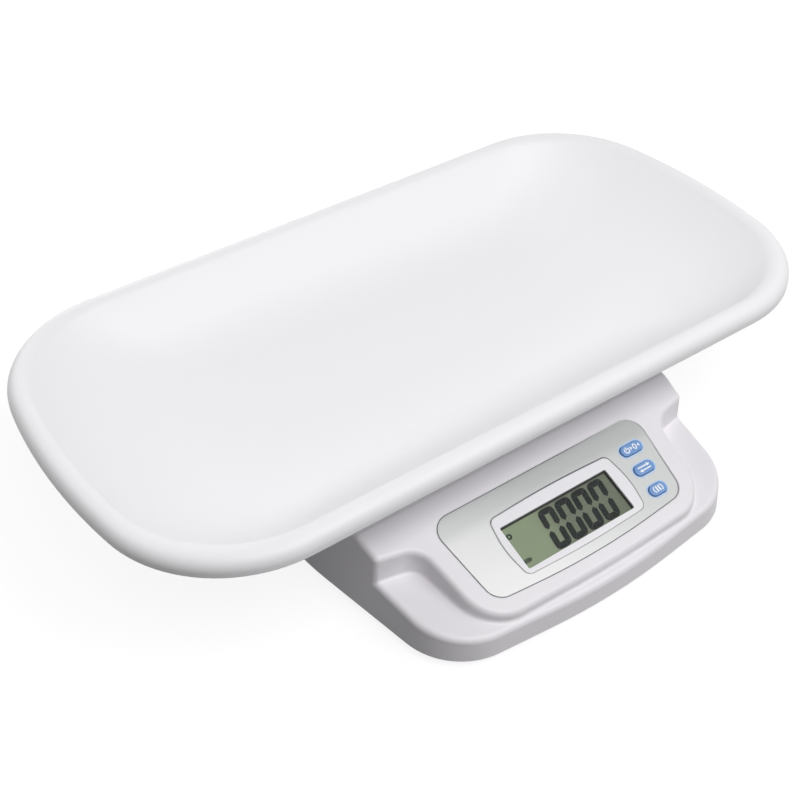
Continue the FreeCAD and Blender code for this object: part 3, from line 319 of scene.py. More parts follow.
@dataclass(frozen=True)
class Metal(Finish):
    """Metal with drawn or rolled streaks along one axis, and spangles if it is galvanised."""

    colour: Colour
    roughness: float
    streak: Triple = (0.04, 1.0, 1.0)
    spangle: float = 0.0
    line: float = 0.0006
    line_depth: float = 0.00001
    line_share: float = 0.5
    stain: float = 0.02
    brightness: Point = (0.86, 1.06)
    roughness_spread: float = 0.16
    spangle_brightness: float = 0.72
    spangle_share: float = 0.35
    spangle_roughness: float = 0.12

    def paint(self, shader: Shader) -> bpy.types.Material:
        """Lay out the nodes and finish the material."""
        lines = shader.noise(self.line, 3.0, stretch=self.streak)
        share = lines * self.line_share + shader.noise(self.stain, 3.0) * (1 - self.line_share)
        base = shader.shaded(share, self.colour, *self.brightness)
        rough = lines.around(self.roughness, self.roughness_spread)
        if self.spangle:
            cells = shader.add("ShaderNodeTexVoronoi", {"Vector": shader.place(), "Scale": 1 / self.spangle},
                               "Color")
            tone = shader.add("ShaderNodeRGBToBW", {0: cells})
            base = shader.mix(tone * self.spangle_share, base, scaled(self.colour, self.spangle_brightness))
            rough = rough + tone * self.spangle_roughness
        return shader.principled(Base_Color=base, Metallic=1.0, Roughness=rough,
                                 Normal=shader.bump(lines, self.line_depth, 0.5))


@dataclass(frozen=True)
class PearlFilm(Finish):
    """Silver-pearl printed film, with painted shade and painted reflection that make it darker from low to
    high, towards the tray, and along its upper strip, given in Y.
    """

    # light is the film's own colour; dark is the film under painted shade and painted reflection
    light: Colour
    dark: Colour
    low: Point
    high: Point
    painted_reflection_strip: Point
    painted_reflection_share: float = 0.4
    flake: float = 0.00035
    flake_depth: float = 0.00001
    flake_share: float = 0.25

    def paint(self, shader: Shader) -> bpy.types.Material:
        """Lay out the nodes and finish the material."""
        flake = shader.noise(self.flake, 1.0)
        # painted reflection: a darker strip along the top of the film
        upper = shader.axes()[1].between(*self.painted_reflection_strip) * self.painted_reflection_share
        # painted shade and painted reflection: the film darkens from low to high, towards the tray
        share = shader.along(self.low, self.high) * (1 - self.painted_reflection_share) + upper
        base = shader.mix(share + (flake - 0.5) * self.flake_share, self.light, self.dark)
        return shader.principled(Base_Color=base, Metallic=0.12, Roughness=flake.around(0.42, 0.12),
                                 Coat_Weight=0.25, Coat_Roughness=0.3,
                                 Normal=shader.bump(flake, self.flake_depth, 0.4))


@dataclass(frozen=True)
class Ink(Finish):
    """Thin printed or displayed ink with an uneven laydown."""

    colour: Colour
    roughness: float = 0.5
    gloss: float = 0.4
    laydown: float = 0.0012
    brightness: Point = (0.86, 1.12)

    def paint(self, shader: Shader) -> bpy.types.Material:
        """Lay out the nodes and finish the material."""
        laydown = shader.noise(self.laydown, 3.0)
        return shader.principled(Base_Color=shader.shaded(laydown, self.colour, *self.brightness),
                                 Roughness=laydown.around(self.roughness, 0.12),
                                 Specular_IOR_Level=self.gloss)


@dataclass(frozen=True)
class PaintedEdgeShadow(Finish):
    """Painted shadow along an edge, which fades from dark at the point low to pale at high, in X and Y, as
    the painted shade gives way to painted light.
    """

    dark: Colour
    pale: Colour
    low: Point
    high: Point
    laydown: float = 0.0012

    def paint(self, shader: Shader) -> bpy.types.Material:
        """Lay out the nodes and finish the material."""
        # painted shade along the edge, fading to painted light from low to high
        base = shader.mix(shader.along(self.low, self.high), self.dark, self.pale)
        rough = shader.noise(self.laydown, 3.0).around(0.5, 0.12)
        return shader.principled(Base_Color=base, Roughness=rough)


@dataclass(frozen=True)
class LiquidCrystal(Finish):
    """Grey-green display cell, darker towards its digits from left to right, given in X."""

    light: Colour
    dark: Colour
    left: float
    right: float
    cloud: float = 0.02
    cloud_share: float = 0.15

    def paint(self, shader: Shader) -> bpy.types.Material:
        """Lay out the nodes and finish the material."""
        cloud = shader.noise(self.cloud)
        side = shader.axes()[0].between(self.left, self.right)
        base = shader.mix(side * (1 - self.cloud_share) + cloud * self.cloud_share, self.light, self.dark)
        return shader.principled(Base_Color=base, Roughness=cloud.around(0.46, 0.08), Specular_IOR_Level=0.25)


@dataclass(frozen=True)
class ClearPane(Finish):
    """Clear window over the display."""

    colour: Colour
    haze: float = 0.015
    cover: float = 0.018

    def paint(self, shader: Shader) -> bpy.types.Material:
        """Lay out the nodes and finish the material."""
        haze = shader.noise(self.haze, 3.0)
        return shader.principled(Base_Color=self.colour, Roughness=haze.around(0.07, 0.06),
                                 Alpha=haze.around(self.cover, 0.012))


@dataclass(frozen=True)
class CircuitBoard(Finish):
    """Green solder mask over copper tracks."""

    mask: Colour
    track: Colour
    pitch: float = 0.0026
    track_share: float = 0.12
    track_length: float = 9.0
    track_depth: float = 0.00003
    cloud: float = 0.01
    cloud_share: float = 0.4
    cloud_brightness: float = 0.6

    def paint(self, shader: Shader) -> bpy.types.Material:
        """Lay out the nodes and finish the material."""
        sizes = {"Scale": 1.0, "Mortar Size": self.pitch * self.track_share,
                 "Brick Width": self.pitch * self.track_length, "Row Height": self.pitch}
        tracks = shader.add("ShaderNodeTexBrick", {"Vector": shader.place(), **sizes}, "Fac")
        cloud = shader.noise(self.cloud, 3.0)
        base = shader.mix(cloud * self.cloud_share, shader.mix(tracks, self.mask, self.track),
                          scaled(self.mask, self.cloud_brightness))
        return shader.principled(Base_Color=base, Roughness=cloud.around(0.33, 0.1), Coat_Weight=0.4,
                                 Coat_Roughness=0.15, Normal=shader.bump(tracks, self.track_depth, 0.6))


@dataclass(frozen=True)
class BatterySleeve(Finish):
    """Printed battery sleeve: a dark can with a bright band and metal tips, placed from the middle."""

    can: Colour
    band: Colour
    metal: Colour
    band_at: float
    tip_at: float
    edge: float = 0.0002
    scuff: float = 0.004
    scuff_share: float = 0.2
    scuff_brightness: float = 1.6

    def paint(self, shader: Shader) -> bpy.types.Material:
        """Lay out the nodes and finish the material."""
        reach = abs(shader.axes()[0])
        scuff = shader.noise(self.scuff, 4.0, roughness=0.7)
        sleeve = shader.mix(reach.between(self.band_at, self.band_at + self.edge), self.can, self.band)
        tip = reach.between(self.tip_at, self.tip_at + self.edge)
        worn = shader.mix(scuff * self.scuff_share, sleeve, scaled(self.can, self.scuff_brightness))
        base = shader.mix(tip, worn, self.metal)
        return shader.principled(Base_Color=base, Metallic=tip.around(0.65, 0.7),
                                 Roughness=scuff.around(0.375, 0.15))


FINISHES: dict[str, Finish] = {
    "tray_plastic": Moulding("tray_white_moulding", (0.845, 0.844, 0.860), roughness=0.50,
                             grain=0.0005, grain_depth=0.000008, mottle=0.008, coat=0.04),
    "housing_plastic": Moulding("housing_pale_moulding", (0.81, 0.787, 0.822), roughness=0.46,
                                grain=0.0007, mottle=0.012),
    # the pearl film's darkening from low to high and along its top strip is painted shade and painted
    # reflection
    "overlay_print": PearlFilm("console_pearl_film_painted_shade", light=(0.73, 0.735, 0.73), dark=(0.455, 0.468, 0.465),
                               low=(-0.065, -0.153), high=(-0.007, -0.087), painted_reflection_strip=(-0.1157, -0.1045)),
    "bezel_plastic": Moulding("bezel_silver_moulding", (0.80, 0.79, 0.82), roughness=0.38,
                              grain=0.0004, grain_depth=0.00001, mottle=0.012, coat=0.2),
    "window_clear": ClearPane("window_clear_sheet", (0.42, 0.45, 0.42)),
    "display_cell": LiquidCrystal("display_cell_green", light=(0.25, 0.31, 0.19),
                                  dark=(0.13, 0.148, 0.105), left=-0.030, right=0.0),
    "diffuser": Moulding("diffuser_milk", (0.85, 0.87, 0.82), roughness=0.5),
    "button_blue": Moulding("button_blue_moulding", (0.14, 0.295, 0.60), roughness=0.35,
                            grain=0.0004, grain_depth=0.00001, mottle=0.03, coat=0.2),
    "board_laminate": CircuitBoard("board_green_mask", mask=(0.02, 0.16, 0.06), track=(0.05, 0.28, 0.11)),
    "chip_resin": Moulding("chip_black_resin", (0.025, 0.025, 0.028), roughness=0.6,
                           grain=0.0003, mottle=0.1),
    "plug_nylon": Moulding("plug_cream_nylon", (0.80, 0.76, 0.66), roughness=0.45),
    "zinc_steel": Metal("screw_zinc_steel", (0.62, 0.63, 0.65), roughness=0.3),
    "sheet_steel": Metal("plate_galvanised_steel", (0.58, 0.59, 0.61), roughness=0.34,
                         streak=(1.0, 0.05, 1.0), spangle=0.006),
    "cell_aluminium": Metal("cell_milled_aluminium", (0.78, 0.79, 0.80), roughness=0.28,
                            streak=(0.03, 1.0, 1.0)),
    "pad_rubber": Rubber("pad_black_rubber", (0.028, 0.028, 0.03)),
    "battery_can": BatterySleeve("battery_printed_sleeve", can=(0.03, 0.05, 0.10), band=(0.62, 0.38, 0.10),
                                 metal=(0.72, 0.70, 0.66), band_at=0.0145, tip_at=0.0262),
    "contact_nickel": Metal("contact_nickel_plate", (0.70, 0.67, 0.61), roughness=0.24),
    "inlet_resin": Moulding("inlet_black_resin", (0.02, 0.02, 0.022), roughness=0.35,
                            grain=0.0005, grain_depth=0.00001, mottle=0.1),
    "cable_sheath": Rubber("cable_grey_sheath", (0.09, 0.09, 0.095), roughness=0.595),
    "lead_red": Rubber("lead_red_sheath", (0.42, 0.03, 0.02), roughness=0.495),
}
# painted shadows along the film's edge and round the bezel's seam
FILM_EDGE_SHADOW = PaintedEdgeShadow("film_edge_painted_shadow", dark=(0.09, 0.09, 0.10), pale=(0.48, 0.48, 0.49),
                       low=(0.020, -0.097), high=(0.049, -0.070))
BEZEL_SEAM_SHADOW = PaintedEdgeShadow("bezel_seam_painted_shadow", dark=(0.09, 0.09, 0.10), pale=(0.42, 0.42, 0.43),
                       low=(0.0, -0.1047), high=(-0.0186, -0.1512))
# black for painted shade: the bezel's shadow on the display and the recesses in screw and bolt heads
PAINTED_SHADE = Ink("painted_shade_black", (0.018, 0.02, 0.018), roughness=0.6, gloss=0.2)
SEGMENT_INK = Ink("segment_black_crystal", (0.012, 0.015, 0.014), gloss=0.1)
RING_INK = Ink("button_ring_light_blue", (0.47, 0.63, 0.86))
LEGEND_INK = Ink("legend_white_ink", (0.86, 0.88, 0.92))


# ---- outlines and plain meshes -------------------------------------------------------------
def rounded(corners: Sequence[Triple], steps: int = 12) -> list[Point]:
    """Polygon with rounded corners.

    Args:
        corners: X, Y and radius of each corner, in order.
        steps: Points on each rounded corner, less one.

    Returns:
        Points round the outline.
    """
    points: list[Point] = []
    for index, (x, y, radius) in enumerate(corners):
        corner = Vector((x, y))
        back = (Vector(corners[index - 1][:2]) - corner).normalized()
        ahead = (Vector(corners[(index + 1) % len(corners)][:2]) - corner).normalized()
        half = back.angle(ahead) / 2
        centre = corner + (back + ahead).normalized() * (radius / math.sin(half))
        first = corner + back * (radius / math.tan(half)) - centre
        turn = math.pi - 2 * half
        sign = 1 if back.x * ahead.y - back.y * ahead.x < 0 else -1
        for step in range(steps + 1):
            angle = sign * turn * step / steps
            points.append((centre.x + first.x * math.cos(angle) - first.y * math.sin(angle),
                           centre.y + first.x * math.sin(angle) + first.y * math.cos(angle)))
    return points


def mirrored(half: Sequence[Triple]) -> list[Triple]:
    """Full outline from its right half, counter-clockwise; a corner at x = 0 isn't doubled."""
    return list(half) + [(-x, y, r) for x, y, r in reversed(half) if x != 0]


def oblong(x: float, y: float) -> list[Point]:
    """Rectangle that reaches x and y from the origin, counter-clockwise."""
    return [(-x, -y), (x, -y), (x, y), (-x, y)]


def soft_oblong(x: float, y: float, radius: float) -> list[Point]:
    """Rectangle that reaches x and y from the origin, with rounded corners."""
    return rounded([(x, -y, radius), (x, y, radius), (-x, y, radius), (-x, -y, radius)])


def oval(x: float, y: float, half_width: float, half_height: float, steps: int = 32) -> list[Point]:
    """Ellipse, counter-clockwise."""
    turns = [2 * math.pi * step / steps for step in range(steps)]
    return [(x + half_width * math.cos(turn), y + half_height * math.sin(turn)) for turn in turns]


def moved(points: Iterable[Point], dx: float, dy: float) -> list[Point]:
    """Outline moved sideways."""
    return [(x + dx, y + dy) for x, y in points]


def grown(points: Sequence[Point], distance: float) -> list[Point]:
    """Counter-clockwise outline grown outwards by a distance, or shrunk by a negative one."""
    result = []
    for index, (x, y) in enumerate(points):
        back = Vector(points[index - 1]) - Vector((x, y))
        ahead = Vector(points[(index + 1) % len(points)]) - Vector((x, y))
        along = ahead.normalized() - back.normalized()
        out = Vector((along.y, -along.x)).normalized()
        result.append((x + out.x * distance, y + out.y * distance))
    return result


class MeshMaker:
    """Collects rings of points into closed meshes."""

    def __init__(self) -> None:
        """Start an empty mesh."""
        self.mesh = bmesh.new()

    def ring(self, points: Iterable[Point], height: float) -> list[bmesh.types.BMVert]:
        """Add one ring of vertices at a height."""
        return [self.mesh.verts.new((x, y, height)) for x, y in points]

    def bridge(self, low: Sequence[bmesh.types.BMVert], high: Sequence[bmesh.types.BMVert]) -> None:
        """Join two rings of the same length with quads."""
        count = len(low)
        for index in range(count):
            after = (index + 1) % count
            self.mesh.faces.new((low[index], low[after], high[after], high[index]))

    def fan(self, ring: Sequence[bmesh.types.BMVert], height: float) -> None:
        """Close a ring with triangles to a point on the axis."""
        middle = self.mesh.verts.new((0, 0, height))
        for index, vert in enumerate(ring):
            self.mesh.faces.new((vert, ring[(index + 1) % len(ring)], middle))

    def slab(self, points: Sequence[Point], low: float, high: float, edge: float = 0.0) -> None:
        """Closed plate on an outline, its upper edge broken by a small chamfer."""
        rings = [self.ring(points, low), self.ring(points, high - edge)]
        if edge:
            rings.append(self.ring(grown(points, -edge), high))
        for lower, upper in zip(rings, rings[1:]):
            self.bridge(lower, upper)
        self.mesh.faces.new(rings[0][::-1])
        self.mesh.faces.new(rings[-1])

    def band(self, outer: Sequence[Point], inner: Sequence[Point], low: float, high: float) -> None:
        """Closed flat band between two outlines of the same count."""
        rings = [self.ring(outer, low), self.ring(outer, high), self.ring(inner, high), self.ring(inner, low)]
        for lower, upper in zip(rings, rings[1:] + rings[:1]):
            self.bridge(lower, upper)

    def block(self, x: float, y: float, width: float, height: float, low: float, high: float) -> None:
        """Small closed bar about a point."""
        self.slab(moved(oblong(width / 2, height / 2), x, y), low, high)

    def arc(self, centre: Point, outer: Point, inner: Point, start: float, sweep: float, steps: int,
            low: float, high: float) -> None:
        """Closed curved bar between two ovals, from a start through a sweep in degrees."""
        turns = [math.radians(start + sweep * step / steps) for step in range(steps + 1)]
        sides = [moved([(a * math.cos(turn), b * math.sin(turn)) for turn in turns], *centre)
                 for a, b in (outer, inner)]
        self.slab(sides[0] + sides[1][::-1], low, high)

    def object(self, name: str, place: Matrix, material: bpy.types.Material,
               smooth: float | None = None) -> bpy.types.Object:
        """Finish the mesh as an object.

        Args:
            name: Name of the piece.
            place: Transform baked into the mesh, from millimetres to metres.
            material: Its material.
            smooth: Largest angle in degrees that is shaded smoothly, or None for flat faces.

        Returns:
            The linked object, at the origin.
        """
        bmesh.ops.recalc_face_normals(self.mesh, faces=self.mesh.faces)
        self.mesh.transform(place)
        data = bpy.data.meshes.new(name)
        self.mesh.to_mesh(data)
        self.mesh.free()
        if smooth is not None:
            data.polygons.foreach_set("use_smooth", [True] * len(data.polygons))
            data.set_sharp_from_angle(angle=math.radians(smooth))
        data.materials.append(material)
        return linked(name, data)


ROW = Matrix.Scale(MM, 4) @ Matrix.Translation((0, SHIFT_Y, 0))


def settle(piece: bpy.types.Object, body: Body, slot: str, *nodes: str) -> None:
    """Let a piece ride on its body and stand for the named nodes."""
    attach(piece, body.value)
    if nodes:
        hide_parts(*nodes)
    log.info("piece %s rides on %s, %d faces", piece.name, body.value, len(piece.data.polygons))


# ---- geometry nodes ------------------------------------------------------------------------
class Repeat(NodeTree):
    """A Geometry Nodes tree that stands one small form on each point of a mesh."""

    def __init__(self, name: str, sizes: dict[str, float], turn: Triple = (0.0, 0.0, 0.0)) -> None:
        """Start the tree with its named sizes and one turn for every copy, in radians."""
        super().__init__(bpy.data.node_groups.new(name, "GeometryNodeTree"))
        interface = self.tree.interface
        for way in ("INPUT", "OUTPUT"):
            interface.new_socket("Geometry", in_out=way, socket_type="NodeSocketGeometry")
        self.sizes = {}
        for label, value in sizes.items():
            socket = interface.new_socket(label, in_out="INPUT", socket_type="NodeSocketFloat")
            socket.default_value = value
            self.sizes[socket.identifier] = value
        self.turn = turn
        self.source = self.node("NodeGroupInput")
        self.result = self.node("NodeGroupOutput")

    def size(self, label: str) -> bpy.types.NodeSocket:
        """Socket of one named size."""
        return self.source.outputs[label]

    def bar(self, *labels: str) -> bpy.types.NodeSocket:
        """Block whose three sides are named sizes."""
        sides = self.node("ShaderNodeCombineXYZ", {i: self.size(label) for i, label in enumerate(labels)})
        return self.node("GeometryNodeMeshCube", {"Size": sides.outputs[0]}).outputs["Mesh"]

    def close(self, form: bpy.types.NodeSocket, material: bpy.types.Material) -> None:
        """Stand the form on the points, realize the copies and give them their material."""
        copies = self.node("GeometryNodeInstanceOnPoints", {
            "Points": self.source.outputs["Geometry"], "Instance": form, "Rotation": self.turn})
        solid = self.node("GeometryNodeRealizeInstances", {0: copies.outputs[0]})
        dressed = self.node("GeometryNodeSetMaterial", {"Geometry": solid.outputs[0], "Material": material})
        self.feed(self.result.inputs[0], dressed.outputs[0])

    def made(self, name: str, points: Sequence[Vector]) -> bpy.types.Object:
        """Run the tree on points in metres.

        Args:
            name: Name of the piece.
            points: One point for each copy.

        Returns:
            A plain mesh object at the origin, without the modifier.
        """
        seeds = bpy.data.meshes.new(name + "_points")
        seeds.from_pydata([tuple(point) for point in points], [], [])
        holder = linked(name + "_points", seeds)
        modifier = holder.modifiers.new("repeat", "NODES")
        modifier.node_group = self.tree
        for identifier, value in self.sizes.items():
            modifier[identifier] = value
        evaluated = holder.evaluated_get(bpy.context.evaluated_depsgraph_get())
        data = bpy.data.meshes.new_from_object(evaluated)
        data.name = name
        bpy.data.objects.remove(holder)
        return linked(name, data)


def cross_recess(name: str, arm: float, turn: Triple, material: bpy.types.Material,
                 slot_share: float = 0.24) -> Repeat:
    """Tree for the crossed slots of screw heads, dark bars of painted shade; arm is the cross's width in
    metres.
    """
    tree = Repeat(name, {"Arm": arm, "Slot": arm * slot_share, "Depth": RECESS_DEPTH}, turn)
    join = tree.node("GeometryNodeJoinGeometry")
    for labels in (("Arm", "Slot", "Depth"), ("Slot", "Arm", "Depth")):
        tree.feed(join.inputs[0], tree.bar(*labels))
    tree.close(join.outputs[0], material)
    return tree


# ---- tray ----------------------------------------------------------------------------------
@dataclass
class Tray:
    """One moulded shell: concave basin, rolled rim open underneath, and locating pins."""

    length: float = 550.0
    width: float = 288.4
    floor_z: float = 73.0
    rim_z: float = 105.0
    rim_r: float = 9.0
    wall: float = 3.0
    lip: float = 3.1
    lip_ease: float = 0.5
    lip_round: float = 0.3
    corner_r: float = 90.8
    end_r: float = 430.0
    floor_length: float = 280.0
    floor_width: float = 124.0
    floor_corner_r: float = 34.0
    floor_end_r: float = 190.0
    floor_shares: tuple[float, ...] = (0.12, 0.35, 0.6, 0.82)
    end_curve: float = 2.6
    side_curve: float = 2.1
    blend: float = math.radians(50.0)
    basin_steps: int = 30
    roll_steps: int = 9
    end_steps: int = 14
    corner_steps: int = 22
    side_steps: int = 14
    pin_r: float = 4.0
    pin_height: float = 2.2
    pin_places: tuple[Point, ...] = ((97, 47), (-97, 47), (-97, -47), (97, -47))
    smooth: float = 40.0

    def outline(self, side_inset: float, end_inset: float, share: float) -> list[Point]:
        """Outline at one height; share blends the radii from the rim, 0, to the floor, 1."""
        half_length = self.length / 2 - self.rim_r - end_inset
        half_width = self.width / 2 - self.rim_r - side_inset
        corner = (self.corner_r - self.rim_r) * (1 - share) + self.floor_corner_r * share - min(side_inset, 0)
        end = (self.end_r - self.rim_r) * (1 - share) + self.floor_end_r * share - min(end_inset, 0)
        corner_y = half_width - corner
        end_x = half_length - end
        corner_x = end_x + math.sqrt((end - corner) ** 2 - corner_y ** 2)
        lean = math.atan2(corner_y, corner_x - end_x)
        quarter = []
        for i in range(self.end_steps):
            angle = lean * i / self.end_steps
            quarter.append((end_x + end * math.cos(angle), end * math.sin(angle)))
        for i in range(self.corner_steps):
            angle = lean + (math.pi / 2 - lean) * i / self.corner_steps
            quarter.append((corner_x + corner * math.cos(angle), corner_y + corner * math.sin(angle)))
        quarter += [(corner_x * (1 - i / self.side_steps), half_width) for i in range(self.side_steps)]
        rear = quarter + [(-x, y) for x, y in reversed(quarter)]
        return rear + [(x, -y) for x, y in reversed(rear[1:-1])]

    def basin(self, offset: float) -> list[Level]:
        """Outlines of the basin from its floor to the roll, moved out by a wall."""
        roll = self.rim_r - offset
        inset = roll * math.sin(self.blend)
        floor_z = self.floor_z - offset
        rise = self.rim_z + roll * math.cos(self.blend) - floor_z
        side_run = self.width / 2 - self.rim_r - self.floor_width / 2 - inset
        end_run = self.length / 2 - self.rim_r - self.floor_length / 2 - inset
        levels = []
        for i in range(self.basin_steps + 1):
            side_share = 1 - i / self.basin_steps
            height = (1 - side_share) ** self.side_curve
            end_share = 1 - height ** (1 / self.end_curve)
            outline = self.outline(inset + side_run * side_share, inset + end_run * end_share, side_share)
            levels.append((outline, floor_z + rise * height))
        return levels

    def roll(self, radius: float) -> list[Level]:
        """Outlines over the roll, from the basin's edge across the crest to its outer side."""
        rise, fall = self.roll_steps, 2 * self.roll_steps
        turns = [self.blend * (1 - i / rise) for i in range(1, rise + 1)]
        turns += [-math.pi / 2 * i / fall for i in range(1, fall + 1)]
        insets = [radius * math.sin(turn) for turn in turns]
        return [(self.outline(inset, inset, 0), self.rim_z + radius * math.cos(turn))
                for inset, turn in zip(insets, turns)]

    def lip_levels(self) -> list[Level]:
        """Outlines round the softened lower edge of the lip."""
        low = self.rim_z - self.lip
        ease, middle = self.lip_ease, self.lip_ease * self.lip_round
        edge = [(0.0, 2 * ease), (0.0, ease), (middle, middle), (ease, 0.0)]
        outer = [(self.rim_r - inset, low + up) for inset, up in edge]
        inner = [(self.rim_r - self.wall + inset, low + up) for inset, up in reversed(edge)]
        return [(self.outline(-out, -out, 0), z) for out, z in outer + inner]

    def floor(self, basin: list[Level]) -> list[Level]:
        """Outlines that shrink from the basin's first one towards the middle of the floor."""
        points, z = basin[0]
        return [([(x * share, y * share) for x, y in points], z) for share in self.floor_shares]

    def build(self) -> bpy.types.Object:
        """Build the closed shell and its pins."""
        maker = MeshMaker()
        upper, under = self.basin(0.0), self.basin(self.wall)
        levels = self.floor(upper) + upper + self.roll(self.rim_r) + self.lip_levels()
        levels += self.roll(self.rim_r - self.wall)[::-1] + (self.floor(under) + under)[::-1]
        rings = [maker.ring(points, z) for points, z in levels]
        for low, high in zip(rings, rings[1:]):
            maker.bridge(low, high)
        low = self.floor_z - self.wall
        maker.fan(rings[0], self.floor_z)
        maker.fan(rings[-1], low)
        for x, y in self.pin_places:
            maker.slab(oval(x, y, self.pin_r, self.pin_r), low - self.pin_height, low + self.wall / 2)
        return maker.object("moulded_tray", ROW, FINISHES["tray_plastic"].material(), self.smooth)

    def dress(self) -> None:
        """Put the tray in place of its solid."""
        settle(self.build(), Body.TRAY, "tray_plastic", "tray")


# ---- console -------------------------------------------------------------------------------
@dataclass(frozen=True)
class ConsoleFace:
    """Sloped face of the console and the way from it to the row frame."""

    top_y: float = -113.5
    top_z: float = 60.5
    tilt: float = 20.24
    datum: float = 38.9

    def turn(self) -> Triple:
        """Turn of the face in radians."""
        return math.radians(self.tilt), 0.0, 0.0

    def matrix(self) -> Matrix:
        """Transform from panel coordinates in millimetres to metres."""
        turn = Matrix.Rotation(self.turn()[0], 4, "X")
        start = Matrix.Translation((0, self.top_y, self.top_z))
        return ROW @ start @ turn @ Matrix.Translation((0, -self.datum, 0))


@dataclass
class PanelWork:
    """Anything laid out on the console, in panel coordinates."""

    face: ConsoleFace = ConsoleFace()
    film_height: float = -0.15

    def piece(self, maker: MeshMaker, name: str, material: bpy.types.Material,
              smooth: float | None = None) -> bpy.types.Object:
        """Finish a mesh made in panel coordinates."""
        return maker.object(name, self.face.matrix(), material, smooth)

    def place(self, x: float, s: float, height: float) -> Vector:
        """Place on the console in metres."""
        return self.face.matrix() @ Vector((x, s, height))


@dataclass
class ConsoleEdgeShadows(PanelWork):
    """Thin dark bands of painted shadow along the edge of the console film and round its display bezel."""

    film_half: tuple[Triple, ...] = ((0, -47.2, 620.0), (80.5, -40.5, 13.0), (88.5, 24.0, 13.0))
    film_shadow_band: Point = (0.05, 0.65)
    bezel_half: tuple[Triple, ...] = ((0, -23.3, 700.0), (50.0, -21.4, 5.0), (53.6, 0, 60.0),
                                      (50.0, 21.4, 5.0), (0, 23.3, 700.0))
    bezel_centre: Point = (-1.6, -14.8)
    bezel_shadow_band: Point = (0.08, 0.65)
    # the bezel's painted shadow is shifted to be wider on its right and upper sides
    bezel_shadow_shift: Point = (0.45, 0.35)
    corner_steps: int = 16
    lift: float = 0.03

    def dress(self) -> None:
        """Build both bands of painted shadow, the film's inside its edge and the bezel's round it."""
        film = rounded(mirrored(self.film_half), self.corner_steps)
        bezel = moved(rounded(mirrored(self.bezel_half), self.corner_steps), *self.bezel_centre)
        near, far = (grown(bezel, distance) for distance in self.bezel_shadow_band)
        lines = (("film_edge_line", *(grown(film, -inset) for inset in self.film_shadow_band), FILM_EDGE_SHADOW),
                 ("bezel_edge_line", moved(far, *self.bezel_shadow_shift), near, BEZEL_SEAM_SHADOW))
        for name, outer, inner, ink in lines:
            maker = MeshMaker()
            maker.band(outer, inner, self.film_height - self.lift, self.film_height + self.lift)
            settle(self.piece(maker, name, ink.material()), Body.BASE, "overlay_print")


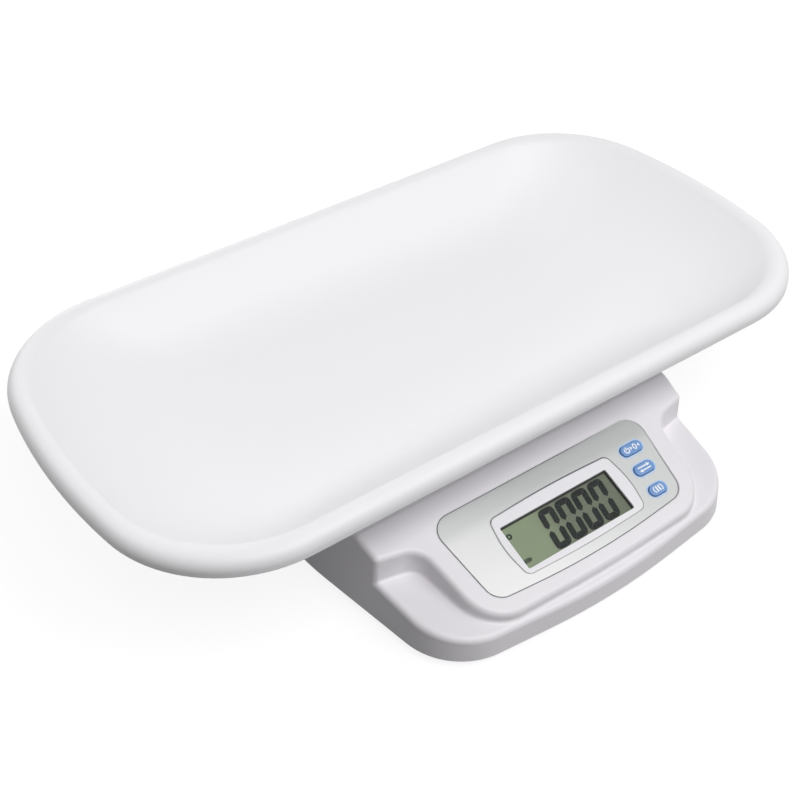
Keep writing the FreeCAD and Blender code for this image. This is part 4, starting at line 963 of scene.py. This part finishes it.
@dataclass
class Display(PanelWork):
    """Clear window, painted shadow of the bezel on the display, and the figures of the liquid-crystal
    display.
    """

    centre: Point = (-3.7, -17.0)
    window: Point = (90.2, 32.0)
    window_corner: float = 1.2
    pane_margin: float = 1.8
    pane_front: float = -0.6
    pane_back: float = -1.3
    pane_edge: float = 0.1
    pane_smooth: float = 30.0
    glass: float = -1.6
    # the bezel's painted shadow on the display: its margin, widths, corner and height
    shadow_margin: float = 1.2
    shadow_inset: tuple[float, float, float, float] = (0.3, 1.0, 0.1, 1.3)   # left, right, bottom, top
    shadow_corner: float = 1.0
    shadow_span: Point = (0.02, 0.2)
    ink_span: Point = (0.01, 0.08)
    digit_count: int = 4
    digit_pitch: float = 14.1
    digit_left: float = -23.0
    digit_top: float = -2.9
    digit_width: float = 12.8
    digit_height: float = 29.2
    digit_corner: float = 3.4
    stroke: float = 4.5
    gap: float = 0.16
    waist: float = 0.5
    slant: float = math.radians(7.1)
    ring_centre: Point = (-45.6, -8.3)
    ring_outer: Point = (2.1, 2.0)
    ring_inner: Point = (0.85, 0.8)
    battery_centre: Point = (-45.0, -27.4)
    battery_half: Point = (2.6, 1.4)
    battery_line: float = 0.5
    nub_shift: float = 3.0
    nub_size: Point = (0.7, 1.4)
    bar_pitch: float = 1.35
    bar_size: Point = (1.05, 1.4)

    def on_glass(self, span: Point) -> Point:
        """Lower and upper height of a thin layer on the glass."""
        return self.glass + span[0], self.glass + span[1]

    def window_outline(self, margin: float) -> list[Point]:
        """Rounded window, grown by a margin."""
        x, y = self.window[0] / 2 + margin, self.window[1] / 2 + margin
        return moved(soft_oblong(x, y, self.window_corner + margin), *self.centre)

    def segments(self) -> list[list[Point]]:
        """Upper left column and upper bar of a figure, measured from its middle, mitred at the corner."""
        x, y, stroke = self.digit_width / 2, self.digit_height / 2, self.stroke
        cut = self.digit_corner * (1 - math.sqrt(0.5))
        mitre, inner = (-x + cut, y - cut), (-x + stroke, y - stroke)
        column = [(-x + stroke / 2, self.waist), (-x + stroke, self.waist + stroke / 2), inner, mitre,
                  (-x, y - self.digit_corner), (-x, self.waist + stroke / 2)]
        bar = [inner, (-inner[0], inner[1]), (-mitre[0], mitre[1]), (x - self.digit_corner, y),
               (-x + self.digit_corner, y), mitre]
        return [grown(column, -self.gap / 2), grown(bar, -self.gap / 2)]

    def figure(self, maker: MeshMaker) -> None:
        """Add a zero in seven-segment style, its lower left corner at the origin."""
        column, bar = self.segments()
        lean = math.tan(self.slant)
        shapes = [(column, 1, 1), (column, -1, 1), (column, -1, -1), (column, 1, -1), (bar, 1, 1),
                  (bar, 1, -1)]
        for points, across, up in shapes:
            placed = [(x * across + self.digit_width / 2, y * up + self.digit_height / 2) for x, y in points]
            leaning = [(x + y * lean, y) for x, y in placed]
            maker.slab(leaning if across * up > 0 else leaning[::-1], *self.on_glass(self.ink_span))

    def figures(self) -> bpy.types.Object:
        """All figures in a row, repeated by Geometry Nodes."""
        maker = MeshMaker()
        self.figure(maker)
        ink = SEGMENT_INK.material()
        single = maker.object("one_figure", self.face.matrix().to_3x3().to_4x4(), ink)
        tree = Repeat("figure_row", {})
        info = tree.node("GeometryNodeObjectInfo", {"Object": single})
        tree.close(info.outputs["Geometry"], ink)
        bottom = self.digit_top - self.digit_height
        points = [self.place(self.digit_left + index * self.digit_pitch, bottom, 0)
                  for index in range(self.digit_count)]
        piece = tree.made("display_figures", points)
        bpy.data.objects.remove(single)
        return piece

    def marks(self) -> bpy.types.Object:
        """Small steady-weight ring and battery sign at the left of the display."""
        maker = MeshMaker()
        span = self.on_glass(self.ink_span)
        outer, inner = (oval(*self.ring_centre, *radii) for radii in (self.ring_outer, self.ring_inner))
        maker.band(outer, inner, *span)
        x, y = self.battery_centre
        half_width, half_height = self.battery_half
        inner = oblong(half_width - self.battery_line, half_height - self.battery_line)
        maker.band(moved(oblong(half_width, half_height), x, y), moved(inner, x, y), *span)
        maker.block(x + self.nub_shift, y, *self.nub_size, *span)
        for side in (-1, 0, 1):
            maker.block(x + side * self.bar_pitch, y, *self.bar_size, *span)
        return self.piece(maker, "display_marks", SEGMENT_INK.material())

    def mask(self) -> bpy.types.Object:
        """Painted shadow of the bezel: a black band along the display's upper and right-hand edges, thinner
        on the others.
        """
        maker = MeshMaker()
        x, y, radius = self.window[0] / 2, self.window[1] / 2, self.shadow_corner
        left, right, bottom, top = self.shadow_inset
        inner = rounded([(x - right, -y + bottom, radius), (x - right, y - top, radius),
                         (-x + left, y - top, radius), (-x + left, -y + bottom, radius)])
        maker.band(self.window_outline(self.shadow_margin), moved(inner, *self.centre),
                   *self.on_glass(self.shadow_span))
        return self.piece(maker, "window_mask", PAINTED_SHADE.material())

    def pane(self) -> bpy.types.Object:
        """Clear window."""
        maker = MeshMaker()
        maker.slab(self.window_outline(self.pane_margin), self.pane_back, self.pane_front, self.pane_edge)
        return self.piece(maker, "clear_window", FINISHES["window_clear"].material(), self.pane_smooth)

    def dress(self) -> None:
        """Build the display's pieces."""
        settle(self.pane(), Body.BASE, "window_clear", "display_window")
        for piece in (self.mask(), self.figures(), self.marks()):
            settle(piece, Body.BASE, "display_cell")


@dataclass
class Keys(PanelWork):
    """Printed rings round the three buttons and the signs on their caps."""

    centres: tuple[Point, ...] = ((68.8, 3.0), (67.1, -13.1), (65.1, -29.9))
    lengths: tuple[float, ...] = (18.0, 16.4, 14.0)
    height: float = 8.0
    corner_r: float = 3.9
    ring_edges: Point = (1.45, 0.37)
    ring_span: Point = (-0.02, 0.03)
    sign_span: Point = (1.26, 1.35)

    def outline(self, index: int, margin: float) -> list[Point]:
        """Oval of one button, grown by a margin."""
        x, y = self.lengths[index] / 2 + margin, self.height / 2 + margin
        return moved(soft_oblong(x, y, self.corner_r + margin), *self.centres[index])

    def rings(self) -> bpy.types.Object:
        """Light-blue rings printed on the film round the buttons."""
        maker = MeshMaker()
        low, high = self.ring_span
        for index in range(len(self.centres)):
            outer, inner = (self.outline(index, margin) for margin in self.ring_edges)
            maker.band(outer, inner, self.film_height + low, self.film_height + high)
        return self.piece(maker, "button_rings", RING_INK.material())

    def power_sign(self, maker: MeshMaker, x: float, y: float) -> None:
        """Broken ring with a bar, and a zero between two arrow heads."""
        ring_x, ring_r, ring_hole_r, opening = x - 4.3, 2.3, 1.4, 76
        maker.arc((ring_x, y - 0.2), (ring_r,) * 2, (ring_hole_r,) * 2, 90 + opening / 2, 360 - opening, 28,
                  *self.sign_span)
        bar_width, bar_height, bar_rise = 0.95, 2.4, 1.1
        maker.block(ring_x, y + bar_rise, bar_width, bar_height, *self.sign_span)
        zero_x, zero, hole = x + 2.7, (1.6, 2.3), (0.7, 1.4)
        maker.band(oval(zero_x, y, *zero), oval(zero_x, y, *hole), *self.sign_span)
        tip_reach, head_length, head_half = 2.1, 1.9, 1.5
        for side in (-1, 1):
            tip = zero_x + side * tip_reach
            back = tip + side * head_length
            head = [(back, y - side * head_half), (back, y + side * head_half), (tip, y)]
            maker.slab(head, *self.sign_span)

    def mode_sign(self, maker: MeshMaker, x: float, y: float) -> None:
        """Two opposed arrows."""
        row, shaft_shift, shaft_length, shaft_width = 1.3, 1.1, 7.6, 1.0
        tip_reach, head_length, outer_barb, inner_barb = 5.4, 2.7, 1.45, 1.2
        for side in (-1, 1):
            height = y + side * row
            maker.block(x - side * shaft_shift, height, shaft_length, shaft_width, *self.sign_span)
            tip = x + side * tip_reach
            back = tip - side * head_length
            head = [(tip, height), (back, height + side * outer_barb), (back, height - side * inner_barb)]
            maker.slab(head, *self.sign_span)

    def hold_sign(self, maker: MeshMaker, x: float, y: float) -> None:
        """Two upright bars between round brackets."""
        bar_shift, bar_width, bar_height = 1.05, 1.25, 4.2
        outer, inner, sweep = (4.1, 3.3), (3.2, 2.5), 96
        for side, middle in ((-1, 180), (1, 0)):
            maker.block(x + side * bar_shift, y, bar_width, bar_height, *self.sign_span)
            maker.arc((x, y), outer, inner, middle - sweep / 2, sweep, 12, *self.sign_span)

    def dress(self) -> None:
        """Build the rings and one sign for each button."""
        settle(self.rings(), Body.BASE, "overlay_print")
        signs: tuple[Callable[..., None], ...] = (self.power_sign, self.mode_sign, self.hold_sign)
        bodies = (Body.UPPER_BUTTON, Body.MIDDLE_BUTTON, Body.LOWER_BUTTON)
        ink = LEGEND_INK.material()
        for sign, body, (x, y) in zip(signs, bodies, self.centres):
            maker = MeshMaker()
            sign(maker, x, y)
            settle(self.piece(maker, body.value + "_sign", ink), body, "button_blue")


# ---- fittings ------------------------------------------------------------------------------
@dataclass
class Fittings(PanelWork):
    """Dark forms in painted shade for the recesses in the heads of screws and bolts, and the leads of the
    board's chips.
    """

    cover_places: tuple[Point, ...] = ((117.8, -149.0), (117.8, -40.0), (70.0, 91.0))
    board_places: tuple[Point, ...] = ((79.5, 15.5), (79.5, -33.5))
    chassis_places: tuple[Point, ...] = ((92.0, -22.0), (92.0, 22.0))
    cover_arm: float = 3.6
    small_arm: float = 2.6
    board_back: float = -8.4
    board_head: float = 1.4
    bolt_places: tuple[float, ...] = (42.5, 57.5)
    socket_r: float = 1.75
    socket_sides: int = 6
    chips: tuple[Triple, ...] = ((-24.0, 8.0, 14.0), (8.0, -24.0, 10.0), (38.0, 8.0, 8.0))
    lead: Triple = (0.5, 1.4, 0.6)
    lead_pitch: float = 1.27
    lead_reach: float = 0.5
    lead_drop: float = 0.35

    def slots(self) -> None:
        """Crossed slots on the three sets of screws, as dark bars of painted shade."""
        # painted shade for the recesses
        dark = PAINTED_SHADE.material()
        sets = (("cover_screw_slots", self.cover_places, "cover_screws", self.cover_arm, False),
                ("board_screw_slots", self.board_places, "board_screws", self.small_arm, True),
                ("chassis_screw_slots", self.chassis_places, "chassis_screws", self.small_arm, False))
        for name, places, node, arm, tilted in sets:
            low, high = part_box(node)
            head_z = low[2] if node == "cover_screws" else high[2]
            points = []
            for x, y in [(side * x, y) for x, y in places for side in (-1, 1)]:
                if tilted:
                    points.append(self.place(x, y, self.board_back - self.board_head))
                else:
                    points.append(Vector((x * MM, (y + SHIFT_Y) * MM, head_z)))
            turn = self.face.turn() if tilted else (0.0, 0.0, 0.0)
            settle(cross_recess(name, arm * MM, turn, dark).made(name, points), Body.BASE, "zinc_steel")

    def sockets(self) -> None:
        """Six-sided sockets in the heads of the load cell's bolts, as dark hexagons of painted shade."""
        # painted shade for the sockets
        dark = PAINTED_SHADE.material()
        sets = (("upper_bolts", Body.PLATFORM, 1, 1), ("lower_bolts", Body.BASE, -1, 0))
        for node, body, side, end in sets:
            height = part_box(node)[end][2]
            tree = Repeat(node + "_socket", {"Radius": self.socket_r * MM, "Depth": RECESS_DEPTH})
            form = tree.node("GeometryNodeMeshCylinder", {
                "Vertices": self.socket_sides, "Radius": tree.size("Radius"), "Depth": tree.size("Depth")})
            tree.close(form.outputs["Mesh"], dark)
            points = [Vector((side * x * MM, SHIFT_Y * MM, height)) for x in self.bolt_places]
            settle(tree.made(node + "_sockets", points), body, "zinc_steel")

    def leads(self) -> None:
        """Tin-plated leads along two sides of each chip, given by its middle and its side."""
        tin = FINISHES["contact_nickel"].material()
        labels = ("Width", "Reach", "Height")
        sizes = {label: size * MM for label, size in zip(labels, self.lead)}
        tree = Repeat("chip_leads", sizes, self.face.turn())
        tree.close(tree.bar(*labels), tin)
        points = []
        for x, s, size in self.chips:
            count = int(size / self.lead_pitch) - 1
            for index in range(count):
                along = x + (index - (count - 1) / 2) * self.lead_pitch
                for side in (-1, 1):
                    points.append(self.place(along, s + side * (size / 2 + self.lead_reach),
                                             self.board_back - self.lead_drop))
        settle(tree.made("chip_leads", points), Body.BASE, "contact_nickel")

    def dress(self) -> None:
        """Build all fittings."""
        self.slots()
        self.sockets()
        self.leads()


# ---- load cell -----------------------------------------------------------------------------
@dataclass
class LoadCell:
    """Milled beam between its two bolted ends; in the scale it bends as the platform sinks, here it is only
    cut across.
    """

    fixed_end: float = -35.0
    free_end: float = 35.0
    middle_z: float = 26.0
    cuts: int = 14
    tolerance: float = 0.001

    def build(self) -> bpy.types.Object:
        """Copy and merge the beam's solid, and cut it across so that it can bend."""
        mesh = bmesh.new()
        mesh.from_mesh(frame["nodes"]["load_cell"].data)
        near = self.tolerance * MM
        bmesh.ops.remove_doubles(mesh, verts=mesh.verts, dist=near)
        for index in range(self.cuts + 1):
            x = self.fixed_end + (self.free_end - self.fixed_end) * index / self.cuts
            bmesh.ops.bisect_plane(mesh, geom=mesh.verts[:] + mesh.edges[:] + mesh.faces[:],
                                   dist=near, plane_co=(x * MM, 0, 0), plane_no=(1, 0, 0))
        data = bpy.data.meshes.new("flexing_load_cell")
        mesh.to_mesh(data)
        mesh.free()
        data.materials.append(FINISHES["cell_aluminium"].material())
        return linked("flexing_load_cell", data)

    def dress(self) -> None:
        """Put the cut beam in place of its solid."""
        beam = self.build()
        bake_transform(beam)
        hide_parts("load_cell")
        log.info("piece %s bends from base to platform, %d faces", beam.name, len(beam.data.polygons))


# ---- carried-over solids -------------------------------------------------------------------
class Solids:
    """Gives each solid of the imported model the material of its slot."""

    def dress(self) -> None:
        """Assign one shared material for each slot."""
        made: dict[str, bpy.types.Material] = {}
        for part in frame["record"]["subparts"]:
            slot = part["material_slot"]
            if slot not in made:
                made[slot] = FINISHES[slot].material()
            mesh = frame["nodes"][part["node"]].data
            mesh.materials.clear()
            mesh.materials.append(made[slot])
        log.info("%d solids dressed in %d finishes", len(frame["nodes"]), len(made))


# ---- studio --------------------------------------------------------------------------------
@dataclass
class Studio:
    """Pale floor, soft sky and lamps, and the camera."""

    azimuth: float = math.radians(-35.66)
    elevation: float = math.radians(40.68)
    roll: float = math.radians(-0.55)
    lens: float = 57.32
    sensor: float = 36.0
    nearest: float = 0.01
    camera_place: Triple = (-0.42349, -0.53475, 0.63329)
    floor_half: float = 9.0
    floor_depth: float = 0.02
    floor_colour: Colour = (0.18,) * 3
    floor_mottle: float = 0.01
    floor_cloud: float = 0.6
    floor_glow: Colour = (0.87,) * 3
    floor_fade: Point = (0.9, 2.6)
    white: Colour = (1.0,) * 3
    sky: float = 0.09
    lamp_size: float = 1.2
    lamp_aim: Triple = (0.0, 0.0, 0.08)
    lamps: tuple[tuple[str, Triple, float], ...] = (
        ("key_softbox", (0.75, -1.0, 1.5), 14.0), ("front_softbox", (0.0, -1.1, 1.7), 18.5),
        ("rear_softbox", (-1.0, 1.0, 1.4), 11.0), ("low_rear_softbox", (0.2, 1.6, 0.5), 7.0),
        ("side_softbox", (1.6, 0.3, 0.5), 1.8))

    def camera(self) -> None:
        """Camera at the viewing angle, in a square frame."""
        back = Vector((math.sin(self.azimuth) * math.cos(self.elevation),
                       -math.cos(self.azimuth) * math.cos(self.elevation), math.sin(self.elevation)))
        right = (-back).cross(Vector((0, 0, 1))).normalized()
        up = right.cross(-back)
        across = math.cos(self.roll) * right + math.sin(self.roll) * up
        above = math.cos(self.roll) * up - math.sin(self.roll) * right
        data = bpy.data.cameras.new("camera")
        data.lens = self.lens
        data.sensor_width = self.sensor
        data.sensor_fit = "HORIZONTAL"
        data.clip_start = self.nearest
        matrix = Matrix((across, above, back)).transposed().to_4x4()
        matrix.translation = Vector(self.camera_place)
        camera = linked("camera", data)
        camera.matrix_world = matrix
        bpy.context.scene.camera = camera

    def floor(self) -> None:
        """Large pale floor that stays near white to the eye, also beyond the lamps, and keeps the shadow."""
        shader = Shader("studio_floor_pale")
        base = shader.shaded(shader.noise(self.floor_cloud), self.floor_colour, 1 - self.floor_mottle,
                             1 + self.floor_mottle)
        diffuse = shader.add("ShaderNodeBsdfDiffuse", {"Color": base})
        reach = shader.add("ShaderNodeVectorMath", {0: shader.place()}, "Value", operation="LENGTH")
        tint = shader.mix(reach.between(*self.floor_fade), self.floor_glow, self.white)
        glow = shader.add("ShaderNodeEmission", {"Color": tint, "Strength": shader.seen()})
        material = shader.finish(shader.add("ShaderNodeAddShader", {0: diffuse, 1: glow}))
        maker = MeshMaker()
        maker.slab(oblong(self.floor_half, self.floor_half), -self.floor_depth, 0.0)
        floor = maker.object("studio_floor", Matrix.Identity(4), material)

    def world(self) -> None:
        """Dim sky for the shadows, that shows as white behind the object."""
        shader = Shader("studio_sky", sky=True)
        seen = shader.seen()
        level = seen + (1 - seen) * self.sky
        bpy.context.scene.world = shader.finish(
            shader.add("ShaderNodeBackground", {"Color": self.white, "Strength": level}))

    def lamp(self, name: str, place: Triple, power: float) -> None:
        """Soft square lamp aimed at the scale."""
        data = bpy.data.lights.new(name, "AREA")
        data.shape = "SQUARE"
        data.size = self.lamp_size
        data.energy = power
        lamp = linked(name, data)
        lamp.location = place
        lamp.rotation_euler = (Vector(self.lamp_aim) - Vector(place)).to_track_quat("-Z", "Y").to_euler()
        lamp.visible_camera = False

    def build(self) -> None:
        """Set up the whole studio."""
        bpy.context.scene.view_settings.view_transform = "Standard"
        self.camera()
        self.floor()
        self.world()
        for name, place, power in self.lamps:
            self.lamp(name, place, power)


def main() -> None:
    """Build the classes in order and report each piece."""
    logging.basicConfig(level=logging.INFO, format="%(name)s: %(message)s")
    Studio().build()
    for work in (Solids, Tray, ConsoleEdgeShadows, Display, Keys, Fittings, LoadCell):
        work().dress()


if __name__ == "__main__":
    main()
